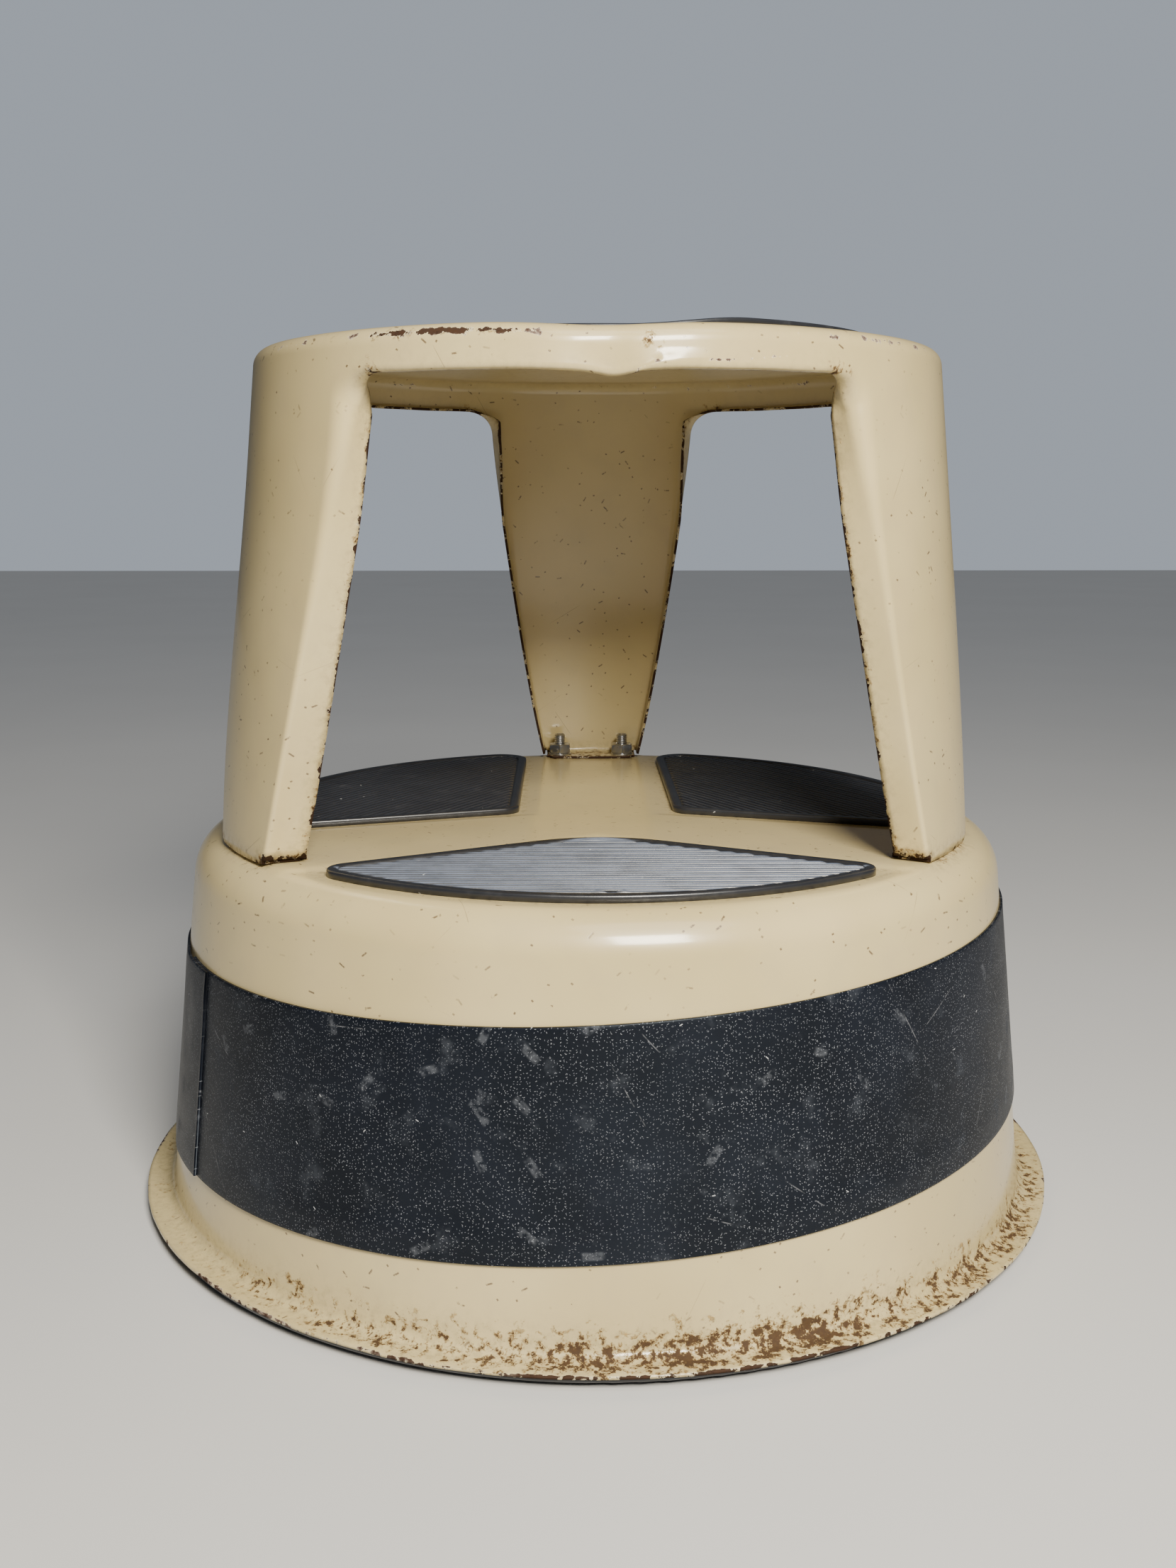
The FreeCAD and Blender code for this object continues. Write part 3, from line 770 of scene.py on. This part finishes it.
def along_path(x, z, path):
    """Distance from a polyline in the front view."""
    best = np.full(x.shape, 1.0)
    for (x0, z0), (x1, z1) in zip(path, path[1:]):
        run, rise = x1 - x0, z1 - z0
        t = np.clip(((x - x0) * run + (z - z0) * rise)
                    / (run * run + rise * rise), 0, 1)
        best = np.minimum(best, np.hypot(x - x0 - t * run, z - z0 - t * rise))
    return best


def window_corners(at):
    """Distance from the nearest top corner of a window, where a dark spot paints
    the notch's shade.
    """
    lateral = LEG_HALF_WIDTHS[-1] + 0.80 * CORNER_R
    r = cup_radius(APRON_Z)
    spot = np.array([lateral, math.sqrt(r * r - lateral ** 2),
                     APRON_Z - 1.8 * MM])
    gaps = [np.linalg.norm(turn_z(at, -turn) * [side, 1, 1] - spot, axis=1)
            for turn in LEG_TURNS for side in (1, -1)]
    return np.min(gaps, 0)


def upper_masks(obj, at, edge):
    x, y, z = at.T
    phase = np.arctan2(x, -y)
    reach = np.hypot(x, y)
    front = smooth(-y, 60 * MM, 110 * MM)
    patches = 0.5 + waves(phase, 21, range(3, 29), 1.0)
    brim = bump(z, TOP_Z - 3.0 * MM, 1.9 * MM) * smooth(
        reach, 128 * MM, 138 * MM)
    rubbed = 0.35 + 0.65 * front * (bump(x, -52 * MM, 42 * MM)
                                    + bump(x, 82 * MM, 26 * MM))
    wear = brim * (0.16 + 0.49 * smooth(patches, 0.28, 0.62) * rubbed)
    wear += 0.60 * np.exp(-edge / (1.1 * MM))
    crease = along_path(x, z, CREASE)
    scuff = along_path(x, z, SCUFF)
    outside = front * smooth(reach, 140 * MM, 143 * MM)
    wear += outside * (0.42 * bump(crease, 0, 1.5 * MM)
                       + 0.46 * bump(scuff, 0, 1.0 * MM))
    # Painted shade: worn and rusty colour at each window's top corner makes a
    # dark spot for the notch there, which opens onto the shaded inside; its cut
    # edges are rusty too.
    corner = window_corners(at)
    wear += 0.95 * bump(corner, 0, 2.6 * MM)
    rust = 0.70 * np.exp(-edge / (1.8 * MM)) + 0.45 * brim * smooth(
        patches, 0.55, 1.0) * (0.3 + 0.7 * front)
    rust += 0.9 * bump(corner, 0, 5 * MM)
    rust += 0.9 * outside * bump(np.hypot(x - 16 * MM, z - 356 * MM), 0,
                                 3.0 * MM)
    rust += 0.55 * smooth(z, FOOT_Z + 4 * MM, FOOT_Z)
    grime = np.exp(-edge / (3 * MM)) + 0.8 * smooth(z, FOOT_Z + 9 * MM, FOOT_Z)
    grime += 0.35 * smooth(z, 300 * MM, 345 * MM) * smooth(
        146 * MM, reach, 150 * MM)
    masks(obj, wear=wear, rust=rust, grime=np.clip(grime, 0, 1))


# --- Treads ---

class Tread:
    """A moulded mat: a raised smooth border round a ribbed field.

    Its outline is the disc of the given radius cut by straight sides, each
    an outward normal and its reach; the corners run counterclockwise and
    are (side before, side after, radius, near point).
    """

    PITCH = 3.4 * MM
    HALF_RIDGE = np.array([0.45, 0.78, 0.94, 1.02, 1.05]) * MM
    RIDGE = np.concatenate([-HALF_RIDGE[::-1], [0], HALF_RIDGE])
    THICK = 2.2 * MM
    # The border from its foot: set in from the edge, and below its top.
    BORDER = np.array([(0, 0.9), (0.12, 0.45), (0.4, 0.14), (0.9, 0),
                       (2.1, -0.05), (3.3, 0), (3.9, 0.2), (4.3, 0.65),
                       (4.5, 1.4)]) * MM
    FIELD_INSET, FIELD_DROP, RIB_HEIGHT = 4.35 * MM, 1.15 * MM, 0.80 * MM

    def __init__(self, radius, seat_z, heading, lines=(), corners=(), used=0.0,
                 sunk=1.3 * MM):
        self.radius, self.seat_z, self.heading = radius, seat_z, heading
        self.lines, self.corners = list(lines), list(corners)
        self.used, self.sunk = used, sunk
        self.top = seat_z + self.THICK

    def depth(self, points):
        """How far inside the outline each point is."""
        inside = self.radius - np.hypot(points[..., 0], points[..., 1])
        for normal, reach in self.lines:
            across = points[..., 0] * normal[0] + points[..., 1] * normal[1]
            inside = np.minimum(inside, reach - across)
        return inside

    def centre(self, before, after, radius, near):
        """Centre of the corner that is round between two sides."""
        sides = [self.lines[i] for i in (before, after) if i is not None]
        if len(sides) == 2:
            return np.linalg.solve([n for n, _ in sides],
                                   [r - radius for _, r in sides])
        normal, reach = sides[0]
        foot = np.array(normal) * (reach - radius)
        along = np.array([-normal[1], normal[0]])
        run = math.sqrt((self.radius - radius) ** 2 - (reach - radius) ** 2)
        return min((foot + along * run, foot - along * run),
                   key=lambda p: math.dist(p, near))

    def outline(self, inset):
        """Points round the mat, set in from its edge."""
        if not self.corners:
            turn = circle(240)
            return (self.radius - inset) * around(turn)
        parts, arcs = [], []
        for before, after, radius, near in self.corners:
            c = self.centre(before, after, radius, near)
            sides = [self.lines[i][0] if i is not None else c
                     for i in (before, after)]
            start, end = (math.atan2(n[1], n[0]) for n in sides)
            turn = np.linspace(start, start + (end - start) % TAU, 14)
            arcs.append((c + (radius - inset) * around(turn), turn[-1],
                         turn[0], after))
        for i, (points, end, _, side) in enumerate(arcs):
            following = arcs[(i + 1) % len(arcs)]
            parts.append(points)
            if side is None:
                run = (following[2] - end) % TAU
                turn = end + np.linspace(0, run, 62)[1:-1]
                parts.append((self.radius - inset) * around(turn))
            else:
                t = np.linspace(0, 1, 22)[1:-1, None]
                parts.append(points[-1] * (1 - t) + following[0][0] * t)
        return np.concatenate(parts)

    def border(self, skin):
        rows = [(0, self.seat_z - self.sunk)]
        rows += [(inset, self.top - drop) for inset, drop in self.BORDER]
        rings = [np.insert(self.outline(inset), 2, z, axis=1)
                 for inset, z in rows]
        index = skin.grid(np.array(rings), loop_cols=True)
        skin.cap(index[0, :-1], flip=True)

    def field(self, skin):
        edge = self.outline(self.FIELD_INSET)
        a = math.radians(self.heading)
        u = edge @ np.array([math.cos(a), math.sin(a)])
        v = edge @ np.array([-math.sin(a), math.cos(a)])
        first = math.floor(v.min() / self.PITCH)
        last = math.ceil(v.max() / self.PITCH) + 1
        rows = (np.arange(first, last)[:, None] * self.PITCH
                + self.RIDGE).ravel()
        rows = rows[(rows > v.min() + 0.02 * MM) & (rows < v.max())]
        starts, ends = [], []
        nu, nv = np.roll(u, -1), np.roll(v, -1)
        for row in rows:
            hit = (v - row) * (nv - row) <= 0
            t = (row - v[hit]) / np.where(nv[hit] == v[hit], 1, nv[hit] - v[hit])
            cross = u[hit] + t * (nu[hit] - u[hit])
            starts.append(cross.min())
            ends.append(cross.max())
        # Columns along a rib, closer together at its ends.
        t = np.concatenate([[0, 0.004, 0.010, 0.018],
                            np.linspace(0.03, 0.97, 44),
                            [0.982, 0.990, 0.996, 1]])
        along = np.array(starts)[:, None] * (1 - t) + np.array(ends)[:, None] * t
        across = np.repeat(rows[:, None], len(t), 1)
        x = along * math.cos(a) - across * math.sin(a)
        y = along * math.sin(a) + across * math.cos(a)
        inside = self.depth(stack(x, y))
        off = (across + self.PITCH / 2) % self.PITCH - self.PITCH / 2
        rib = np.sqrt(np.clip(1 - (off / self.RIDGE[-1]) ** 2, 0, 1))
        rib *= smooth(inside, 4.5 * MM, 5.8 * MM)
        worn = 0.05 * MM * np.sin(across * 900 + along * 37)
        z = self.top - self.FIELD_DROP + (self.RIB_HEIGHT + worn) * rib
        skin.grid(stack(x, y, z))

    def build(self, name, lift=None):
        skin = Skin()
        self.border(skin)
        self.field(skin)
        obj = skin.build(name)
        points = coordinates(obj)
        # The rib tops get the mat's painted sheen here, partly polish from wear.
        ridge = smooth(points[:, 2] - self.top, -0.75 * MM, -0.40 * MM)
        field = smooth(self.depth(points), 4.6 * MM, 6.2 * MM)
        masks(obj, trodden=self.used * ridge * field)
        if lift:
            points[:, 2] += lift(points)
            obj.data.vertices.foreach_set("co", points.ravel())
            obj.data.update()
        return obj


def side(slope_x, slope_y, through):
    """A straight side's outward normal and reach, through one point."""
    size = math.hypot(slope_x, slope_y)
    normal = (slope_x / size, slope_y / size)
    return normal, normal[0] * through[0] + normal[1] * through[1]


def nicked(points):
    """A small torn spot in the front tread's near ribs."""
    spot = np.hypot((points[:, 0] - 2.5 * MM) / 2.2,
                    points[:, 1] + 149.5 * MM)
    return (0.22 * MM * bump(spot, 2.1 * MM, 0.6 * MM)
            - 0.75 * MM * (1 - smooth(spot, 0.6 * MM, 1.5 * MM)))


def curled(points):
    """The top tread's right front edge has come unstuck and lifted."""
    az = azimuth(points)
    reach = np.hypot(points[:, 0], points[:, 1])
    raised = smooth(az, 4, 27) * (1 - smooth(az, 58, 92))
    return 3.4 * MM * raised * smooth(reach, 88 * MM, 118 * MM)


APEX = (0, -54.8 * MM)
# Each tread's share of painted rib-top sheen, partly polish from wear, is given
# as it is made.
FRONT = Tread(TREAD_R, STEP_Z, 0,
              [side(0.52, 1, APEX), side(-0.52, 1, APEX)],
              [(None, 0, 9 * MM, (0.11, -0.11)), (0, 1, 55 * MM, APEX),
               (1, None, 9 * MM, (-0.11, -0.11))], used=0.62)


def rear_tread(hand, used):
    """A rear tread: hand is 1 for the right (+X) and -1 for the left."""
    near = (hand * 35 * MM, 0)
    ends = [(side(-0.33 * hand, -1, near), 12 * MM, (hand * 0.152, -0.04)),
            (side(-hand, 0, near), 14 * MM, (hand * 0.035, 0.154))]
    (first, *start), (second, *end) = ends[::hand]
    return Tread(TREAD_R, STEP_Z, -60 * hand, [first, second],
                 [(0, None, *start), (None, 1, *end), (1, 0, 9 * MM, near)],
                 used=used)


RIGHT, LEFT = rear_tread(1, 0.07), rear_tread(-1, 0.05)
TOP = Tread(MAT_HIGH.x, MAT_LOW.z, 0, used=0.35, sunk=0.3 * MM)


# --- Lower step ---

def wall_radius(z):
    return WALL_R + WALL_DRAFT * (WALL_R_Z - z)


def bend(centre_r, centre_z, radius, angles):
    """Radius and height along a bend of the sheet."""
    return np.stack([centre_r + radius * np.cos(angles),
                     centre_z + radius * np.sin(angles)])


def drum_profile():
    """Radius and height along the pressing, from near the axis to the lip."""
    lean = math.atan(WALL_DRAFT)
    cut = math.tan((math.pi / 2 - lean) / 2)
    lip_z = RIM_Z + SHEET
    bend_r = wall_radius(STEP_Z) - SHOULDER_R * cut
    foot_r = wall_radius(lip_z) + RIM_FILLET * cut
    up = np.linspace(math.pi / 2, lean, 15)
    shoulder = bend(bend_r, STEP_Z - SHOULDER_R, SHOULDER_R, up)
    back = np.linspace(math.pi + lean, 1.5 * math.pi, 9)
    foot = bend(foot_r, lip_z + RIM_FILLET, RIM_FILLET, back)
    heights = np.linspace(shoulder[1, -1], foot[1, 0], 30)[1:-1]
    wall = np.stack([wall_radius(heights), heights])
    flat = np.linspace(6 * MM, bend_r, 62)[:-1]
    lip = np.linspace(foot_r, RIM_R, 6)[1:]
    return np.concatenate([np.stack([flat, 0 * flat + STEP_Z]), shoulder, wall,
                           foot, np.stack([lip, 0 * lip + lip_z])], 1)


def lower_step():
    r, z = drum_profile()
    phase = circle(420)
    points = stack(r[:, None] * np.sin(phase), -r[:, None] * np.cos(phase),
                   z[:, None])
    plain = points.copy()
    lip = smooth(r, 192 * MM, RIM_R)[:, None]
    points[..., 2] += lip * waves(phase, 31, (2, 3, 5, 9, 14, 23, 37), 0.9 * MM)
    ragged = lip ** 3 * waves(phase, 33, (7, 13, 29, 47, 71, 97), 1.5 * MM)
    ragged = np.minimum(ragged, 0.1 * MM)
    swell = smooth(z, 15 * MM, 60 * MM) * (1 - smooth(z, 130 * MM, 155 * MM))
    ragged = ragged + swell[:, None] * waves(phase, 35, (2, 3, 4, 6), 0.3 * MM)
    points[..., 0] += ragged * np.sin(phase)
    points[..., 1] -= ragged * np.cos(phase)
    nearest = np.max([t.depth(plain) for t in (FRONT, LEFT, RIGHT)], 0)
    on_top = (z > STEP_Z - 0.5 * MM)[:, None]
    points[..., 2] -= 0.8 * MM * smooth(nearest, -9 * MM, -0.5 * MM) * on_top
    skin = Skin()
    index = skin.grid(points, flip=True, loop_cols=True)
    skin.fan(index[0], (0, 0, STEP_Z))
    obj = skin.build("lower_step")
    flat = np.vstack([plain.reshape(-1, 3), [[0, 0, STEP_Z]]])
    lower_masks(obj, flat, np.append(nearest.ravel(), -1.0))
    return thickened(obj)


def foot_gap(at):
    """Distance from the nearest leg's foot."""
    gaps = []
    for turn in LEG_TURNS:
        local = turn_z(at, -turn)
        outer = np.sqrt(np.maximum(CUP_FOOT_R ** 2 - local[:, 0] ** 2, 0))
        dx = np.maximum(np.abs(local[:, 0]) - 22 * MM, 0)
        dy = np.maximum(np.maximum(FOOT_IN - local[:, 1],
                                   local[:, 1] - outer), 0)
        gaps.append(np.hypot(dx, dy))
    return np.min(gaps, 0)


def lower_masks(obj, at, nearest):
    x, y, z = at.T
    r = np.hypot(x, y)
    az = azimuth(at)
    phase = np.radians(az)
    patches = 0.5 + waves(phase, 41, range(3, 40), 1.1)
    lip = smooth(r, RIM_R - 2.6 * MM, RIM_R)
    front = bump(az, 4, 48)
    right = bump(az, 62, 24)
    wear = lip * (0.36 + 0.22 * smooth(patches, 0.2, 0.9) + 0.05 * front)
    blots = smooth(waves(phase, 43, range(9, 60), 1.6), 0.25, 0.7)
    wear += 0.34 * bump(r, 198.5 * MM, 3 * MM) * blots * (
        0.4 + 0.6 * (front + right).clip(0, 1))
    wear += 0.13 * bump(z, STEP_Z - 6 * MM, 6 * MM)
    fillet = bump(np.hypot(r - 195.5 * MM, z - 9 * MM), 0, 7 * MM)
    skirt = bump(z, 8 * MM, 16 * MM) * smooth(r, 188 * MM, 191 * MM)
    rust = fillet * (0.30 + 0.55 * bump(az, 18, 22) + 0.50 * bump(az, -22, 16)
                     + 0.42 * right + 0.3 * smooth(patches, 0.6, 1.2))
    rust += 0.28 * skirt * (bump(az, 16, 30) + 0.7 * right)
    foot = foot_gap(at)
    top = z > STEP_Z - 3 * MM
    rust += 0.55 * np.exp(-foot / (2.2 * MM)) * top
    grime = 0.45 * fillet + 0.15 * skirt
    grime += top * (0.95 * bump(nearest, -0.6 * MM, 1.6 * MM)
                    + 0.45 * smooth(nearest, -6 * MM, 0)
                    + 0.9 * np.exp(-foot / (4 * MM)))
    masks(obj, wear=wear, rust=rust, grime=np.clip(grime, 0, 1))


# --- Bumper band ---

def band():
    """A strap wrapped once round the drum and a little past its start."""
    start = BAND_SEAM_AZ - BAND_LAP
    turn = np.radians(np.append(np.arange(start, start + 352, 1.0),
                                np.arange(start + 352, start + 368.05, 0.5)))
    over = smooth(np.degrees(turn) - start, 352, 359.5)
    half = BAND_WIDTH / 2
    edge = 0.35 * MM
    across = np.concatenate([[-half, -half, -half + 0.1 * MM, -half + edge],
                             np.linspace(-half + 2 * MM, half - 2 * MM, 40),
                             [half - edge, half - 0.1 * MM, half, half]])
    out = np.full(len(across), BAND_THICK)
    out[:3] = [0.02 * MM, BAND_THICK - edge, BAND_THICK - 0.1 * MM]
    out[-3:] = out[:3][::-1]
    wobble = waves(turn, 51, (3, 5, 8, 13), 0.5 * MM)
    a, t = across[:, None], turn[None, :]
    wave = (a / half) * 0.5 * wobble
    z = BAND_MIDDLE + a + wave
    az = np.degrees((t + 1.5 * math.pi) % TAU - math.pi)
    swollen = bump(z, 49 * MM, 5 * MM) * bump(az, 8, 55) + 0.5 * bump(
        z, 116 * MM, 9 * MM) * bump(az, -60, 30)
    for _ in range(3):       # the tilt changes the height, which sets r
        r = (wall_radius(z) + out[:, None] + BAND_THICK * over
             + 0.55 * MM * swollen)
        z = (BAND_MIDDLE + a / math.cos(BAND_TILT) + wave
             + math.tan(BAND_TILT) * r * np.cos(t))
    points = stack(r * np.cos(t), r * np.sin(t), z)
    skin = Skin()
    index = skin.grid(points, flip=True, loop_rows=True)
    skin.cap(index[:-1, 0])
    skin.cap(index[:-1, -1], flip=True)
    return skin.build("bumper_band")


# --- Leg fasteners ---

NUT_FLATS, HEAD_FLATS, HEAD_H = 11.0, 10.0, 4.0      # all in millimetres
THREAD_R, CREST_R, ROOT_R, PITCH = 3.0, 2.98, 2.62, 1.0


def lathe(skin, rows, at, flats=None, segments=48):
    """Stacked rings of (height, radius), cut to a hexagon if flats is given."""
    turn = circle(segments)
    wrap = (turn + math.pi / 6) % (math.pi / 3) - math.pi / 6
    rings = []
    for z, radius, *uncut in rows:
        r = np.full(segments, radius)
        if flats and not uncut:
            r = np.minimum(r, flats * MM / 2 / np.cos(wrap))
        rings.append(stack(r * np.cos(turn), r * np.sin(turn), z))
    points = np.array(rings)
    points[..., :2] += at
    skin.grid(points, loop_cols=True)


def rows_at(base, *rows):
    """Rows for lathe, from millimetres above base and millimetres of radius."""
    return [(base + rise * MM, radius * MM, *uncut)
            for rise, radius, *uncut in rows]


def bolt_places():
    flat = np.array([[s * BOLT_X, BOLT_Y, 0] for s in (-1, 1)])
    return np.concatenate([turn_z(flat, turn) for turn in LEG_TURNS])[:, :2]


def nut_rows():
    corner = NUT_FLATS / math.sqrt(3)
    return rows_at(NUT_LOW.z, (0, 3.05, 1), (0, 5.3), (0.3, 5.75),
                   (0.7, corner)) + \
        rows_at(NUT_HIGH.z, (-0.8, corner), (-0.35, 5.75), (0, 5.2),
                (0, 3.6, 1), (-0.4, 3.05, 1))


def washer_rows():
    return rows_at(WASHER_LOW.z, (0, 3.05), (0, 5.85), (0.2, 6)) + \
        rows_at(WASHER_HIGH.z, (-0.3, 6), (0, 5.7), (0, 3.05))


def bolt_rows():
    head, nut, tip = BOLT_LOW.z, NUT_LOW.z, BOLT_HIGH.z
    rows = rows_at(head, (0, 0.01), (0, 4.7), (0.4, 5.2), (0.9, 6),
                   (HEAD_H, 6), (HEAD_H, THREAD_R, 1))
    rows += rows_at(nut, (-1.2, THREAD_R, 1))
    for z in np.arange(nut - PITCH * MM, tip - 1.2 * MM, PITCH * MM):
        rows += rows_at(z, (0, ROOT_R, 1), (0.42, CREST_R, 1),
                        (0.58, CREST_R, 1))
    return rows + rows_at(tip, (-0.5, ROOT_R, 1), (0, 2.1, 1), (0, 0.01, 1))


def fasteners():
    """The nuts, washers and screws; the nuts and screws a little off their holes'
    centres.
    """
    nuts, washers, bolts = Skin(), Skin(), Skin()
    rng = np.random.default_rng(7)
    for place in bolt_places():
        shift = place + rng.normal(0, 0.08 * MM, 2)
        lathe(nuts, nut_rows(), shift, NUT_FLATS)
        lathe(washers, washer_rows(), place)
        lathe(bolts, bolt_rows(), shift, HEAD_FLATS)
    for skin, node in ((nuts, "leg_nuts"), (washers, "leg_washers"),
                       (bolts, "leg_bolts")):
        piece = skin.build(node + "_threaded")
        modify(piece, "EDGE_SPLIT", split_angle=math.radians(38))
        settle(piece, "zinc_steel", node)


# --- The object ---


def shorten_spring(i):
    """Gives a caster's spring its own copy of its mesh."""
    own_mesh(frame["nodes"][f"caster_spring_{i}"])


settle(upper_step(), "beige_paint", "upper_step_shell")
settle(lower_step(), "beige_paint", "lower_step_shell")
for tread, place, shape in ((FRONT, "front", nicked), (LEFT, "rear_left", None),
                            (RIGHT, "rear_right", None), (TOP, "top", curled)):
    settle(tread.build(place + "_mat", shape), "tread_rubber", place + "_tread")
settle(band(), "band_vinyl", "bumper_band")
fasteners()

for number in (1, 2, 3):
    shorten_spring(number)

for part in frame["record"]["subparts"]:
    data = frame["nodes"][part["node"]].data
    data.materials.clear()
    data.materials.append(FINISHES[part["material_slot"]])


# --- Camera, light and floor ---

FILM_SIDE, LENS = 36.0, 35.3246          # millimetres
CAMERA_DISTANCE, CAMERA_HEIGHT = 683.4 * MM, 301.3 * MM
CAMERA_PITCH, CAMERA_YAW, STOOL_TURN = 10.48, 0.306, 1.1     # degrees
KEY_PLACE, KEY_AIM, KEY_SIDE = (0.24, -0.97, 0.87), (0, 0, 0.2), 0.36
KEY_POWER, KEY_COLOUR = 32, (1.0, 0.94, 0.82)
SKY_TOWARD, SKY_POWER, SKY_COLOUR = (0.2, -0.4, 1.0), 0.9, (0.93, 0.96, 1.0)
SKY_SPREAD = math.radians(32)
BACKDROP, BACKDROP_LIGHT, BACKDROP_SEEN = (0.80, 0.88, 1.0, 1), 0.085, 0.45
FLOOR_REACH = 6


def add_camera():
    data = bpy.data.cameras.new("camera")
    data.sensor_width = FILM_SIDE
    data.lens = LENS
    data.clip_start = 0.01
    camera = bpy.data.objects.new("camera", data)
    camera.location = Matrix.Rotation(math.radians(-STOOL_TURN), 3, "Z") @ \
        Vector((0, -CAMERA_DISTANCE, CAMERA_HEIGHT))
    camera.rotation_euler = (math.radians(90 - CAMERA_PITCH), 0,
                             math.radians(CAMERA_YAW - STOOL_TURN))
    bpy.context.scene.collection.objects.link(camera)
    bpy.context.scene.camera = camera


def add_light(name, kind, toward, power, colour, **settings):
    """A light that shines from the way it is toward."""
    data = bpy.data.lights.new(name, kind)
    data.energy = power
    data.color = colour
    for key, value in settings.items():
        setattr(data, key, value)
    light = bpy.data.objects.new(name, data)
    light.rotation_euler = Vector(toward).to_track_quat("Z", "Y").to_euler()
    bpy.context.scene.collection.objects.link(light)
    return light


def add_floor():
    f = Finish("studio_floor")
    f.set("Base Color", f.lay((0.55, 0.545, 0.535), (0.60, 0.595, 0.585),
                              f.noise(3, 4)))
    f.set("Roughness", 0.7)
    skin = Skin()
    lines = np.linspace(-FLOOR_REACH, FLOOR_REACH, 13)
    skin.grid(stack(lines[None, :], lines[:, None], 0.0))
    floor = skin.build("studio_floor")
    floor.data.materials.append(f.material)


def add_world():
    """A backdrop that the camera sees brighter than it lights the stool."""
    world = bpy.data.worlds.new("studio")
    world.use_nodes = True
    tree = world.node_tree
    sky = tree.nodes["Background"]
    sky.inputs["Color"].default_value = BACKDROP
    seen = tree.nodes.new("ShaderNodeLightPath").outputs["Is Camera Ray"]
    level = tree.nodes.new("ShaderNodeMapRange")
    level.inputs["To Min"].default_value = BACKDROP_LIGHT
    level.inputs["To Max"].default_value = BACKDROP_SEEN
    tree.links.new(seen, level.inputs["Value"])
    tree.links.new(level.outputs["Result"], sky.inputs["Strength"])
    bpy.context.scene.world = world


add_camera()
add_floor()
add_world()
key = add_light("key", "AREA", Vector(KEY_PLACE) - Vector(KEY_AIM), KEY_POWER,
                KEY_COLOUR, shape="SQUARE", size=KEY_SIDE)
key.location = KEY_PLACE
key.visible_camera = False
add_light("sky_fill", "SUN", SKY_TOWARD, SKY_POWER, SKY_COLOUR,
          angle=SKY_SPREAD)
